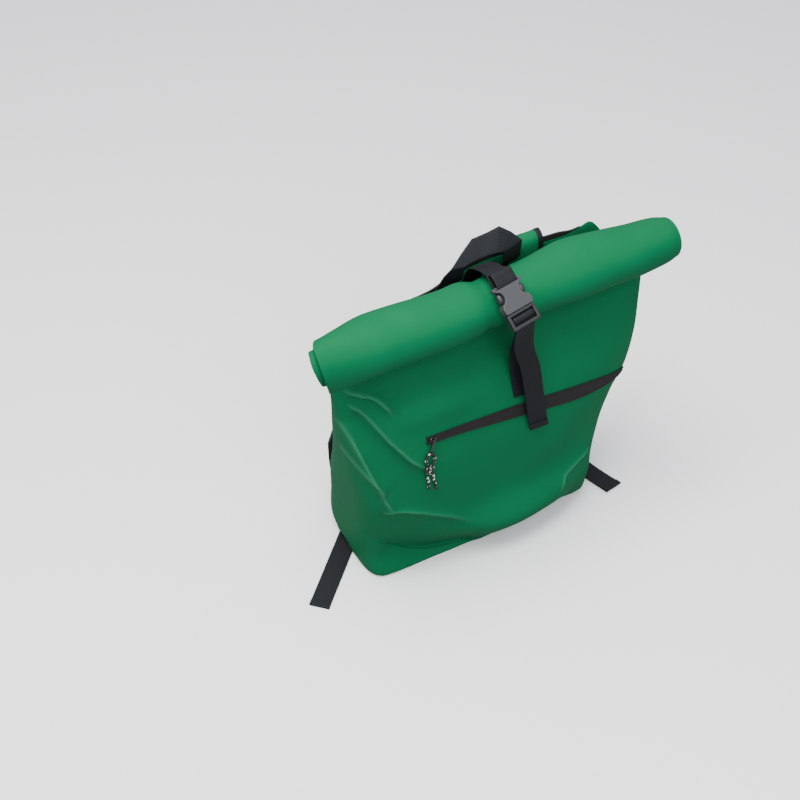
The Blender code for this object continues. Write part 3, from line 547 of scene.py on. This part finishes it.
def roll_point(x, run, inset):
    """A point of the rolled cloth: run 0 is the seam with the neck, 1 is the inner end."""
    outer = ROLL_RADIUS * read_column(STATIONS, "along", "radius", x / NECK_HALF) - inset
    slack = eased((-x / NECK_HALF - 0.72) / 0.28)
    if run < RISER_SHARE:
        climb = run / RISER_SHARE * ROLL_RADIUS
        return Vector((x + slack * 0.012, ROLL_Y + outer, NECK_HEIGHT - RISER_LAP + climb))
    turn = (run - RISER_SHARE) / (1 - RISER_SHARE) * ROLL_TURNS
    out, up = math.cos(2 * math.pi * turn), math.sin(2 * math.pi * turn)
    reach = outer - ROLL_PITCH * turn
    over = max(out * 0.68 + up * 0.73, 0.0) ** 2
    reach += over * sum(hump_rise(hump, x) for hump in ROLL_HUMPS)
    reach -= hump_rise(STRAP_PINCH, x)
    reach += 0.0012 * noise.noise(Vector((x * 24, out, up)))
    shift = 0.012 * max(1 - turn / 0.25, 0) - 0.006 - 0.009 * (1 - out) / 2 + 0.014 * (1 - up) / 2
    shift -= 0.0045 * eased((turn - 0.95) / 0.2)
    return Vector((x + slack * shift, ROLL_Y + reach * out * (1 - 0.22 * slack),
                   ROLL_Z + reach * up * (1 + 0.14 * slack) - 0.004 * slack))


for name, inset, gone in (("roll_outer", 0.0004, ["roll_top"]), ("roll_inner", 0.0019, [])):
    roll_cloth = bmesh.new()
    bmesh.ops.create_grid(roll_cloth, x_segments=120, y_segments=120, size=0.5)
    uv = roll_cloth.loops.layers.uv.new("run")
    for face in roll_cloth.faces:
        for loop in face.loops:
            loop[uv].uv = (loop.vert.co.x * NECK_HALF * 2, (loop.vert.co.y + 0.5) * ROLL_CLOTH)
    for vert in roll_cloth.verts:
        x = math.sin(math.pi * vert.co.x) * NECK_HALF
        vert.co = roll_point(x, vert.co.y + 0.5, inset)
    bmesh.ops.recalc_face_normals(roll_cloth, faces=roll_cloth.faces)
    roll = finished(name, roll_cloth, green_cloth, gone)
    walled(roll, ROLL_WALL, 0.0)

# Black webbing, 25 mm wide: polypropylene woven in fine ribs, with firm edges. Each strap is
# one length, from its seam through its buckle to its end, which is folded over and sewn.
WEB_WIDTH = 0.025
WEB = 0.0014
WEB_EDGE = 0.0004


def webbing_finish(name, colour):
    """Woven webbing: fine ribs along the strap, crossed by the weft, and a slight sheen."""
    finish, tree, shader = new_finish(name)
    shader.inputs["Roughness"].default_value = 0.62
    shader.inputs["Specular IOR Level"].default_value = 0.25
    run = added(tree, "UVMap", uv_map="run")
    ribs = added(tree, "TexWave", {"Scale": 130.0}, bands_direction="X")
    weft = added(tree, "TexWave", {"Scale": 260.0}, bands_direction="Y")
    weave = added(tree, "Math", operation="ADD")
    bump = added(tree, "Bump", {"Strength": 0.45, "Distance": 0.0002})
    dull, bright = ([value * share for value in colour] + [1] for share in (0.7, 1.25))
    shade = added(tree, "Mix", {"A": dull, "B": bright}, data_type="RGBA")
    wired(tree, (run, "UV", ribs, "Vector"), (run, "UV", weft, "Vector"),
          (ribs, "Fac", weave, 0), (weft, "Fac", weave, 1), (weave, "Value", bump, "Height"),
          (ribs, "Fac", shade, "Factor"), (shade, "Result", shader, "Base Color"),
          (bump, "Normal", shader, "Normal"))
    return finish


black_webbing = webbing_finish("black_webbing", (0.0055, 0.0063, 0.0088))


def banded(pairs, lanes=8):
    """A band between pairs of edge points, with a UV map in metres."""
    band = bmesh.new()
    last = len(pairs) - 1
    bmesh.ops.create_grid(band, x_segments=lanes, y_segments=last, size=0.5)
    uv = band.loops.layers.uv.new("run")
    lengths = [0.0]
    for one, two in zip(pairs, pairs[1:]):
        lengths.append(lengths[-1] + ((two[0] + two[1]) / 2 - (one[0] + one[1]) / 2).length)
    place = {vert: (vert.co.x + 0.5, round((vert.co.y + 0.5) * last)) for vert in band.verts}
    for face in band.faces:
        for loop in face.loops:
            across, i = place[loop.vert]
            loop[uv].uv = (across * (pairs[i][1] - pairs[i][0]).length, lengths[i])
    for vert, (across, i) in place.items():
        vert.co = pairs[i][0].lerp(pairs[i][1], across)
    return band


def strap_pairs(stops, step=0.002):
    """Edge points of webbing whose stops are a middle and the way its width lies."""
    pairs = []
    for row in flowing(stops, step):
        half = Vector(row[3:6]).normalized() * WEB_WIDTH / 2
        middle = Vector(row[:3])
        pairs.append((middle - half, middle + half))
    return pairs


def thickened(piece, thickness, rounding):
    """Give a band its thickness and soft edges."""
    walled(piece, thickness, 0.0)
    edges = piece.modifiers.new("edges", "BEVEL")
    edges.width = rounding
    edges.segments = 2
    edges.limit_method = "ANGLE"
    edges.angle_limit = math.radians(60)


def webbing(name, stops, node, hem=0):
    """One length of webbing as a piece, with its end folded back where it has a hem."""
    pairs = strap_pairs(stops)
    strap = finished(name, banded(pairs), black_webbing, [node])
    thickened(strap, WEB, WEB_EDGE)
    if hem:
        along = (pairs[-1][0] - pairs[-2][0]).normalized()
        lie = (pairs[-1][1] - pairs[-1][0]).normalized()
        lift = along.cross(lie) * (hem * WEB * 1.04)
        folded = [tuple(point + lift for point in pair) for pair in pairs[-7:]]
        flap = finished(f"{name}_hem", banded(folded), black_webbing, [])
        thickened(flap, WEB, WEB_EDGE)
    return strap


# The buckle: a side-release buckle moulded in dark acetal. The socket holds the strap from
# behind the roll, the plug the strap from the front, and the plug's arms show at the sides.
BUCKLE_MIDDLE = Vector((-0.0127, -0.1002, 0.4035))
BUCKLE_DOWN = Vector((0.1503, -0.7014, -0.6967))
BUCKLE_ACROSS = Vector((0.9887, 0.1062, 0.1059))
BUCKLE_OUT = Vector((-0.0007, -0.7048, 0.7094))
BUCKLE_SIZE = 1.09


def in_buckle(across, up, out):
    """A place in the buckle's own axes, in millimetres."""
    across, up, out = across * BUCKLE_SIZE, up * BUCKLE_SIZE, out * BUCKLE_SIZE
    return (BUCKLE_MIDDLE + BUCKLE_ACROSS * (across / 1000) - BUCKLE_DOWN * (up / 1000)
            + BUCKLE_OUT * (out / 1000))


def plastic_finish(name, colour, roughness):
    """Moulded plastic: a fine spark-eroded grain and slightly worn patches."""
    finish, tree, shader = new_finish(name)
    shader.inputs["Base Color"].default_value = colour
    place = added(tree, "TexCoord")
    grain = added(tree, "TexNoise", {"Scale": 2600.0})
    patches = added(tree, "TexNoise", {"Scale": 160.0})
    gloss = added(tree, "MapRange", {"To Min": roughness - 0.07, "To Max": roughness + 0.09})
    bump = added(tree, "Bump", {"Strength": 0.2, "Distance": 0.0001})
    wired(tree, (place, "Object", grain, "Vector"), (place, "Object", patches, "Vector"),
          (patches, "Fac", gloss, "Value"), (gloss, "Result", shader, "Roughness"),
          (grain, "Fac", bump, "Height"), (bump, "Normal", shader, "Normal"))
    return finish


acetal = plastic_finish("dark_acetal", (0.046, 0.048, 0.052, 1), 0.38)
plug_acetal = plastic_finish("black_acetal", (0.016, 0.017, 0.019, 1), 0.42)


def slab(shape, outline, low, high, rounding):
    """A moulded slab over an outline in the plane of two axes, with rounded edges."""
    part = bmesh.new()
    face = part.faces.new([part.verts.new((across, up, low)) for across, up in outline])
    raised = bmesh.ops.extrude_face_region(part, geom=[face])["geom"]
    lifted = [piece for piece in raised if isinstance(piece, bmesh.types.BMVert)]
    bmesh.ops.translate(part, verts=lifted, vec=(0, 0, high - low))
    bmesh.ops.recalc_face_normals(part, faces=part.faces)
    bmesh.ops.bevel(part, geom=list(part.edges), offset=rounding, segments=3, profile=0.5,
                    affect="EDGES", clamp_overlap=True, material=-1)
    mesh = bpy.data.meshes.new("slab")
    part.to_mesh(mesh)
    part.free()
    shape.from_mesh(mesh)
    bpy.data.meshes.remove(mesh)


def block_outline(left, right, low, high):
    """The four corners of a straight bar."""
    return [(left, low), (right, low), (right, high), (left, high)]


def to_buckle(shape):
    """Move a shape made in millimetres to the buckle's place."""
    for vert in shape.verts:
        vert.co = in_buckle(*vert.co)


def moulded(piece):
    """Shade a moulded piece smooth over its rounded edges."""
    piece.data.shade_smooth()
    sharp = piece.modifiers.new("faces", "WEIGHTED_NORMAL")
    sharp.keep_sharp = True


def side_bars(shape, inner, outer, low, high, bottom, top, rounding):
    """A straight bar on each side."""
    for side in (-1, 1):
        left, right = sorted((side * inner, side * outer))
        slab(shape, block_outline(left, right, low, high), bottom, top, rounding)


socket_half = [(15.4, -8.0), (16.4, -5.0), (16.6, -1.5), (15.4, 0.6)]
for i in range(9):
    angle = math.pi * i / 8
    socket_half.append((14.8 - 5.2 * math.sin(angle), 8.6 - 6.6 * math.cos(angle)))
socket_half += [(15.6, 16.2), (16.7, 17.5)]
socket_shape = bmesh.new()
slab(socket_shape, socket_half + [(-across, up) for across, up in reversed(socket_half)],
     -4.6, 5.4, 1.1)
side_bars(socket_shape, 13.2, 16.8, 16.6, 19.6, -3.4, 3.4, 0.9)
slab(socket_shape, block_outline(-16.8, 16.8, 17.0, 20.0), -2.2, 2.2, 0.9)
to_buckle(socket_shape)
moulded(finished("buckle_socket_shell", socket_shape, acetal, ["buckle_socket"]))

plug_shape = bmesh.new()
slab(plug_shape, block_outline(-15.4, 15.4, -11.6, -8.3), -3.8, 4.4, 0.9)
side_bars(plug_shape, 12.9, 16.1, -24.0, -9.0, -3.8, 3.8, 0.8)
slab(plug_shape, block_outline(-16.1, 16.1, -25.0, -21.8), -0.6, 3.8, 0.9)
slab(plug_shape, block_outline(-13.4, 13.4, -17.6, -14.6), -1.4, 1.2, 0.7)
for side in (-1, 1):
    button = bmesh.ops.create_uvsphere(plug_shape, u_segments=20, v_segments=12, radius=1.0)
    bmesh.ops.scale(plug_shape, vec=(3.6, 6.0, 3.8), verts=button["verts"])
    bmesh.ops.translate(plug_shape, vec=(side * 12.6, 8.6, 0), verts=button["verts"])
to_buckle(plug_shape)
moulded(finished("buckle_plug_frame", plug_shape, plug_acetal, ["buckle_plug"]))

# The closure strap: sewn into the seam behind the roll, it comes up between the handle's
# legs, arches over the roll and is folded and sewn round the socket's bar.
LIE = tuple(BUCKLE_ACROSS)
closure_stops = [
    (-0.0110, -0.0165, 0.3510, 1.00, 0.00, 0.00), (-0.0115, -0.0186, 0.3804, 1.00, 0.00, 0.00),
    (-0.0125, -0.0303, 0.4036, 1.00, 0.00, 0.00), (-0.0140, -0.0514, 0.4160, 1.00, 0.00, 0.00),
    (-0.0155, -0.0687, 0.4215, 1.00, 0.00, 0.00),
    *[(*in_buckle(0, up, out), *LIE) for up, out in (
        (32.0, 3.4), (26.0, 4.6), (20.0, 4.9), (17.4, 4.7), (15.9, 3.4), (15.9, 0.0),
        (15.9, -3.4), (17.4, -4.7), (21.0, -4.8), (27.0, -4.8), (34.0, -5.0))],
]
webbing("closure_webbing", closure_stops, "closure_strap")

# The front strap: sewn into the zip's seam on the front, it goes up behind the plug, over the
# plug's inner bar and back down behind its end bar, and its loose end hangs over the zip.
front_stops = [
    (0.0203, -0.0853, 0.2471, 1.00, 0.00, -0.05), (0.0172, -0.0824, 0.2729, 1.00, 0.00, -0.05),
    (0.0111, -0.0838, 0.3074, 1.00, 0.00, -0.05),
    (0.0052, -0.0945, 0.3400, 1.00, 0.02, 0.02),
    *[(*in_buckle(0, up, out), *LIE) for up, out in (
        (-25.0, -4.6), (-19.5, -4.0), (-15.5, -3.6), (-12.9, -1.8), (-12.8, 0.8), (-14.4, 2.6),
        (-17.0, 2.7), (-19.4, 1.6), (-21.2, -0.8), (-24.5, -2.4))],
    (0.0020, -0.1030, 0.3388, 1.00, 0.00, -0.05),
    (0.0166, -0.0985, 0.2992, 1.00, 0.00, -0.05),
    (0.0252, -0.0965, 0.2629, 1.00, 0.00, -0.05),
    (0.0328, -0.0955, 0.2265, 1.00, 0.00, -0.05),
    (0.0397, -0.0945, 0.1955, 1.00, 0.00, -0.05),
]
webbing("front_webbing", front_stops, "front_strap", 1)

# The grab handle: one length of the same webbing, sewn flat to the yoke at both ends and
# folded over at two corners, so that its top lies nearly level.
HANDLE_EDGES = [
    (-0.0270, 0.0012, 0.3517, -0.0520, 0.0003, 0.3517),
    (-0.0262, -0.0040, 0.3660, -0.0512, -0.0040, 0.3640),
    (-0.0223, -0.0150, 0.3804, -0.0455, -0.0140, 0.3899),
    (-0.0242, -0.0230, 0.4028, -0.0396, -0.0190, 0.4012),
    (-0.0166, -0.0240, 0.4055, -0.0264, -0.0170, 0.4158),
    (-0.0074, -0.0245, 0.4071, -0.0119, -0.0140, 0.4282),
    (0.0026, -0.0250, 0.4084, 0.0091, -0.0130, 0.4292),
    (0.0143, -0.0250, 0.4074, 0.0235, -0.0125, 0.4317),
    (0.0184, -0.0248, 0.4066, 0.0383, -0.0145, 0.4205),
    (0.0229, -0.0240, 0.4051, 0.0517, -0.0170, 0.4067),
    (0.0289, -0.0170, 0.3835, 0.0534, -0.0130, 0.3841),
    (0.0296, -0.0001, 0.3619, 0.0530, -0.0009, 0.3619),
    (0.0296, 0.0014, 0.3517, 0.0530, 0.0006, 0.3517),
]
handle_pairs = [(Vector(HANDLE_EDGES[0][:3]), Vector(HANDLE_EDGES[0][3:]))]
for row, after in zip(HANDLE_EDGES, HANDLE_EDGES[1:]):
    for i in range(1, 9):
        pair = [a + (b - a) * i / 8 for a, b in zip(row, after)]
        handle_pairs.append((Vector(pair[:3]), Vector(pair[3:])))
# The handle's webbing is painted lighter than the other black webbing: painted light on its top.
lit_handle_weave = webbing_finish("lit_handle_weave", (0.0125, 0.0135, 0.0175))
handle = finished("handle_webbing", banded(handle_pairs), lit_handle_weave, ["grab_handle"])
thickened(handle, WEB, WEB_EDGE)

# The yoke: a doubled flap of the bag's cloth that stands up behind the neck, with a ribbed
# dark tape bound over most of its top edge. It carries the handle and the shoulder straps.
YOKE = 0.0020
YOKE_HALF = 0.1718
YOKE_FOOT = 0.28495
YOKE_LEAN = 0.005
Edge = namedtuple("Edge", "across top")
YOKE_TOPS = [
    Edge(-1.00, 0.950), Edge(-0.62, 1.018), Edge(-0.48, 1.012), Edge(-0.30, 1.016),
    Edge(-0.18, 1.036), Edge(-0.08, 1.062), Edge(0.10, 1.078), Edge(0.30, 1.080),
    Edge(0.50, 1.078), Edge(0.72, 1.084), Edge(0.82, 1.102), Edge(0.90, 1.116),
    Edge(1.00, 1.060),
]


def yoke_top(x):
    """The height of the yoke's top edge."""
    return NECK_HEIGHT * read_column(YOKE_TOPS, "across", "top", x / YOKE_HALF)


yoke_pairs = []
for i in range(89):
    x = YOKE_HALF * (2 * i / 88 - 1)
    y = on_bag(x, YOKE_FOOT, 1, YOKE / 2 + 0.0012).y
    yoke_pairs.append((Vector((x, y, YOKE_FOOT)), Vector((x, y + YOKE_LEAN, yoke_top(x)))))
yoke = finished("yoke_flap", banded(yoke_pairs, 16), green_cloth, ["back_yoke"])
thickened(yoke, YOKE, 0.0008)

tape_finish = webbing_finish("ribbed_tape", (0.030, 0.028, 0.030))
tape_pairs = []
for i in range(81):
    x = YOKE_HALF * (-0.60 + 1.42 * i / 80)
    y = on_bag(x, YOKE_FOOT, 1, YOKE / 2 + 0.0012).y + YOKE_LEAN
    low = yoke_top(x) + 0.0006
    wide = 0.0012 + 0.0068 * eased((0.84 - x / YOKE_HALF) / 0.20)
    tape_pairs.append((Vector((x, y, low)), Vector((x, y - 0.001, low + wide))))
tape = finished("yoke_tape", banded(tape_pairs, 6), tape_finish, ["yoke_binding"])
thickened(tape, 0.0016, 0.0005)

# The front zip: a dark coil zip on its knitted tape, set in a slit of the front cloth that
# gapes at the right, with a thin rolled lip along each side.
Reach = namedtuple("Reach", "across height width")
ZIP_LINE = [
    Reach(-0.558, 0.676, 0.45), Reach(-0.248, 0.668, 0.60), Reach(0.039, 0.655, 0.85),
    Reach(0.314, 0.636, 1.00), Reach(0.594, 0.612, 0.95), Reach(0.815, 0.588, 0.60),
    Reach(0.934, 0.576, 0.26),
]
ZIP_WIDTH = 0.017
ZIP_LIFT = 0.0010
COIL = 0.0004
LIP = 0.0012


def zip_place(across, side):
    """A point of the zip: across the bag, and from its lower edge at -1 to its upper at 1."""
    height = read_column(ZIP_LINE, "across", "height", across)
    column = "left" if across < 0 else "right"
    reach = HALF_WIDTH + read_column(SECTIONS, "height", column, height) * (NECK_HALF - HALF_WIDTH)
    half = read_column(ZIP_LINE, "across", "width", across) * ZIP_WIDTH / 2
    return across * reach, height * NECK_HEIGHT + side * half


zip_pairs, coil_path = [], []
lips = {-1: [], 1: []}
for i in range(141):
    across = -0.558 + 1.492 * i / 140
    zip_pairs.append(tuple(on_bag(*zip_place(across, side), -1, ZIP_LIFT) for side in (-1, 1)))
    coil_path.append(on_bag(*zip_place(across, 0), -1, 0.0012))
    for side in (-1, 1):
        lips[side].append(on_bag(*zip_place(across, side), -1, ZIP_LIFT))
zip_finish = webbing_finish("zip_tape_weave", (0.0140, 0.0115, 0.0125))
zip_band = finished("zip_tape_band", banded(zip_pairs, 8), zip_finish, ["zip_tape"])
thickened(zip_band, 0.0009, 0.0003)
# The lips are painted near black, darker than the tape: painted shade in the gaps between the cloth
# and the tape.
lip_shade_finish = webbing_finish("zip_lip_shade_weave", (0.010, 0.010, 0.011))
for side, word in ((-1, "lower"), (1, "upper")):
    finished(f"zip_lip_{word}", braided(lips[side], LIP, 8), lip_shade_finish, [])
finished("zip_coil", braided(coil_path, COIL, 8), zip_finish, [])

# The zip's slider and pull: plated zinc, the slider domed over the coil and the flat pull
# with a hole at its end, hanging from the slider's bridge.
def metal_finish(name, colour):
    """Dark plated zinc, brushed and rubbed bright in places."""
    finish, tree, shader = new_finish(name)
    shader.inputs["Base Color"].default_value = colour
    shader.inputs["Metallic"].default_value = 1.0
    place = added(tree, "TexCoord")
    scratches = added(tree, "TexNoise", {"Scale": 900.0})
    gloss = added(tree, "MapRange", {"To Min": 0.22, "To Max": 0.48})
    wired(tree, (place, "Object", scratches, "Vector"), (scratches, "Fac", gloss, "Value"),
          (gloss, "Result", shader, "Roughness"))
    return finish


zinc = metal_finish("plated_zinc", (0.11, 0.105, 0.105, 1))
SLIDER = Vector((-0.0992, -0.0873, 0.2354))
slider_shape = bmesh.new()
slab(slider_shape, [(-4.2, -2.6), (-2.4, -3.6), (4.2, -2.4), (4.2, 2.4), (-2.4, 3.6), (-4.2, 2.6)],
     -1.3, 1.1, 0.6)
slab(slider_shape, block_outline(-3.0, 3.0, -0.9, 0.9), 0.9, 2.2, 0.6)
for vert in slider_shape.verts:
    vert.co = SLIDER + Vector((vert.co.x, -vert.co.z, vert.co.y)) / 1000
bmesh.ops.recalc_face_normals(slider_shape, faces=slider_shape.faces)
moulded(finished("zip_slider_body", slider_shape, zinc, ["zip_slider"]))

PULL_TOP = Vector((-0.0995, -0.0905, 0.2350))
PULL_SLANT = 0.28
pull_shape = bmesh.new()
slab(pull_shape, block_outline(-1.6, 1.6, -13.6, 3.0), -0.5, 0.5, 0.3)
side_bars(pull_shape, 0.9, 1.8, -17.0, -13.0, -0.5, 0.5, 0.3)
slab(pull_shape, block_outline(-1.8, 1.8, -17.4, -16.4), -0.5, 0.5, 0.3)
for vert in pull_shape.verts:
    across = vert.co.x + vert.co.y * PULL_SLANT
    vert.co = PULL_TOP + Vector((across, -vert.co.z, vert.co.y)) / 1000
bmesh.ops.recalc_face_normals(pull_shape, faces=pull_shape.faces)
moulded(finished("zip_pull_tab", pull_shape, zinc, ["zip_pull"]))

# The shoulder straps: foam pads in the bag's cloth, edged with dark tape. Each is sewn to the
# yoke, arches away from the back, and ends in a ladder lock.
PAD_THICK = 0.009
PAD_ROWS = {
    "left": [
        (-0.0721, 0.0077, 0.3051, 0.0000, 0.0482), (-0.0730, 0.0129, 0.3260, 0.0000, 0.0493),
        (-0.0750, 0.0241, 0.3339, 0.0000, 0.0515), (-0.0780, 0.0346, 0.3239, 0.0000, 0.0538),
        (-0.0850, 0.0480, 0.2902, 0.0000, 0.0549), (-0.0959, 0.0657, 0.2300, -0.1257, 0.0538),
        (-0.1100, 0.0748, 0.1751, -0.2456, 0.0448), (-0.1260, 0.0728, 0.1369, -0.3552, 0.0347),
    ],
    "right": [
        (0.0721, 0.0082, 0.3399, 0.0000, 0.0482), (0.0730, 0.0135, 0.3659, 0.0000, 0.0493),
        (0.0750, 0.0246, 0.3729, 0.0000, 0.0515), (0.0780, 0.0344, 0.3558, 0.0000, 0.0538),
        (0.0850, 0.0478, 0.3148, 0.0000, 0.0549), (0.0959, 0.0649, 0.2450, 0.1257, 0.0538),
        (0.1100, 0.0754, 0.1800, 0.2456, 0.0448), (0.1260, 0.0734, 0.1390, 0.3552, 0.0347),
    ],
}


ROOT_STOPS = [
    (0.0640, -0.0080, 0.3620, 1.00, 0.00, 0.00), (0.0642, -0.0076, 0.3780, 1.00, 0.00, 0.00),
    (0.0646, -0.0050, 0.3905, 1.00, 0.00, 0.02), (0.0655, 0.0030, 0.3945, 1.00, 0.00, 0.02),
    (0.0680, 0.0105, 0.3880, 1.00, 0.00, 0.00), (0.0700, 0.0135, 0.3760, 1.00, 0.00, 0.00),
]


def root_band(name, inner, outer, thickness, lift, finish):
    """A strip of the right pad's sewn root, which is folded over the yoke's edge."""
    pairs = []
    fine = flowing(ROOT_STOPS, 0.002)
    for i, row in enumerate(fine):
        ahead, behind = fine[min(i + 1, len(fine) - 1)], fine[max(i - 1, 0)]
        along = (Vector(ahead[:3]) - Vector(behind[:3])).normalized()
        lie = Vector(row[3:6]).normalized()
        middle = Vector(row[:3]) + lie.cross(along) * -lift
        pairs.append((middle + lie * inner, middle + lie * outer))
    band = finished(name, banded(pairs, 6), finish, [])
    thickened(band, thickness, 0.0008)


root_band("pad_root", -0.0220, 0.0190, 0.0030, 0.0, green_cloth)
root_band("pad_root_tape", 0.0165, 0.0235, 0.0044, 0.0002, black_webbing)


def pad_frames(rows, step):
    """Middles, ways across, ways out and widths along a pad."""
    fine = flowing(rows, step)
    frames = []
    for i, row in enumerate(fine):
        ahead, behind = fine[min(i + 1, len(fine) - 1)], fine[max(i - 1, 0)]
        along = (Vector(ahead[:3]) - Vector(behind[:3])).normalized()
        lie = Vector((1, 0, row[3])).normalized()
        lie = (lie - along * lie.dot(along)).normalized()
        frames.append((Vector(row[:3]), lie, lie.cross(along), row[4]))
    return frames


def wrapped(frames, place, around):
    """A closed skin round a row of frames, with a UV map in metres."""
    skin = bmesh.new()
    last = len(frames) - 1
    bmesh.ops.create_grid(skin, x_segments=around, y_segments=last, size=0.5)
    uv = skin.loops.layers.uv.new("run")
    spots = {vert: (vert.co.x + 0.5, round((vert.co.y + 0.5) * last)) for vert in skin.verts}
    lengths = [0.0]
    for one, two in zip(frames, frames[1:]):
        lengths.append(lengths[-1] + (two[0] - one[0]).length)
    for face in skin.faces:
        for loop in face.loops:
            turn, i = spots[loop.vert]
            loop[uv].uv = (turn * frames[i][3] * 2.2, lengths[i])
    for vert, (turn, i) in spots.items():
        vert.co = place(turn, i / last, *frames[i])
    bmesh.ops.remove_doubles(skin, verts=skin.verts, dist=0.00001)
    bmesh.ops.holes_fill(skin, edges=[edge for edge in skin.edges if edge.is_boundary], sides=0)
    bmesh.ops.recalc_face_normals(skin, faces=skin.faces)
    return skin


def pad_place(turn, run, middle, lie, out, width):
    """A pad's skin: full in the middle, thin at its sides and rounded at its ends."""
    angle = 2 * math.pi * turn
    side, rise = math.cos(angle), math.sin(angle)
    end = min(run, 1 - run) * 12
    close = min(1.0, 0.55 + 0.45 * end)
    thick = PAD_THICK / 2 * math.copysign(abs(rise) ** 0.75, rise) * close
    return middle + lie * (side * (width / 2 - 0.0012) * (0.92 + 0.08 * close)) + out * thick


def edge_place(side):
    """The dark tape folded over one side of a pad."""
    def place(turn, run, middle, lie, out, width):
        angle = 2 * math.pi * turn
        return (middle + lie * (side * (width / 2 - 0.0026) + math.cos(angle) * 0.0026)
                + out * (math.sin(angle) * 0.0024))
    return place


for word in ("left", "right"):
    frames = pad_frames(PAD_ROWS[word], 0.004)
    pad = finished(f"shoulder_pad_{word}", wrapped(frames, pad_place, 36), green_cloth,
                   [f"shoulder_strap_{word}"])
    for side, name in ((-1, "inner"), (1, "outer")):
        finished(f"pad_tape_{word}_{name}", wrapped(frames, edge_place(side), 12), tape_finish,
                 [])

# The ladder locks: moulded frames at the pads' ends, through which the lower webbing turns.
for word in ("left", "right"):
    frame_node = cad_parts[f"strap_adjuster_{word}"]
    lock_shape = bmesh.new()
    lock_shape.from_mesh(frame_node.data)
    bmesh.ops.transform(lock_shape, matrix=frame_node.matrix_world, verts=lock_shape.verts)
    bmesh.ops.remove_doubles(lock_shape, verts=lock_shape.verts, dist=0.00001)
    bmesh.ops.dissolve_limit(lock_shape, angle_limit=math.radians(2), verts=lock_shape.verts,
                             edges=lock_shape.edges)
    bmesh.ops.recalc_face_normals(lock_shape, faces=lock_shape.faces)
    lock = finished(f"ladder_lock_{word}", lock_shape, plug_acetal, [frame_node.name])
    rounded = lock.modifiers.new("edges", "BEVEL")
    rounded.width = 0.0005
    rounded.segments = 3
    rounded.limit_method = "ANGLE"
    rounded.angle_limit = math.radians(40)
    lock.modifiers.new("faces", "WEIGHTED_NORMAL")

# The lower webbing: sewn to the back just above the base, it goes up through the ladder lock
# and back down, and its loose tail lies on the floor beside the bag, hemmed at its end.
lower_stops = {
    "left": [
        (-0.1263, 0.0654, 0.0635, 1.00, 0.00, 0.00), (-0.1292, 0.0656, 0.0861, 1.00, 0.00, 0.00),
        (-0.1398, 0.0667, 0.1067, 0.91, -0.01, -0.41), (-0.1368, 0.0673, 0.1135, 0.91, -0.01, -0.41),
        (-0.1357, 0.0676, 0.1157, 0.91, -0.01, -0.41), (-0.1355, 0.0683, 0.1162, 0.91, -0.01, -0.41),
        (-0.1356, 0.0706, 0.1160, 0.91, -0.01, -0.41), (-0.1357, 0.0729, 0.1158, 0.91, -0.01, -0.41),
        (-0.1359, 0.0735, 0.1152, 0.91, -0.01, -0.41), (-0.1370, 0.0734, 0.1129, 0.91, -0.01, -0.41),
        (-0.1400, 0.0726, 0.1062, 0.91, -0.01, -0.41), (-0.1240, 0.0978, 0.0337, 0.99, 0.12, 0.00),
        (-0.1147, 0.0884, 0.0049, 0.90, 0.43, 0.00), (-0.1161, 0.0590, 0.0017, 0.70, -0.71, 0.00),
        (-0.1569, 0.0180, 0.0013, 0.70, -0.71, 0.00), (-0.2381, -0.0622, 0.0013, 0.70, -0.71, 0.00),
    ],
    "right": [
        (0.1264, 0.0645, 0.0636, 1.00, 0.00, 0.00), (0.1291, 0.0653, 0.0871, 1.00, 0.00, 0.00),
        (0.1393, 0.0673, 0.1086, 0.92, 0.00, 0.40), (0.1364, 0.0679, 0.1154, 0.92, 0.00, 0.40),
        (0.1354, 0.0682, 0.1176, 0.92, 0.00, 0.40), (0.1351, 0.0689, 0.1181, 0.92, 0.00, 0.40),
        (0.1352, 0.0712, 0.1179, 0.92, 0.00, 0.40), (0.1353, 0.0736, 0.1177, 0.92, 0.00, 0.40),
        (0.1356, 0.0741, 0.1171, 0.92, 0.00, 0.40), (0.1366, 0.0740, 0.1148, 0.92, 0.00, 0.40),
        (0.1395, 0.0732, 0.1081, 0.92, 0.00, 0.40), (0.1498, 0.0998, 0.0337, 1.00, 0.00, 0.00),
        (0.1669, 0.0911, 0.0049, 0.99, -0.10, 0.00), (0.1716, 0.0500, 0.0017, 1.00, 0.00, 0.00),
        (0.1716, -0.0200, 0.0013, 0.99, 0.15, 0.00), (0.1841, -0.0800, 0.0035, 0.99, 0.12, 0.04),
    ],
}
for word in ("left", "right"):
    webbing(f"lower_tail_{word}", lower_stops[word], f"lower_webbing_{word}", 1)
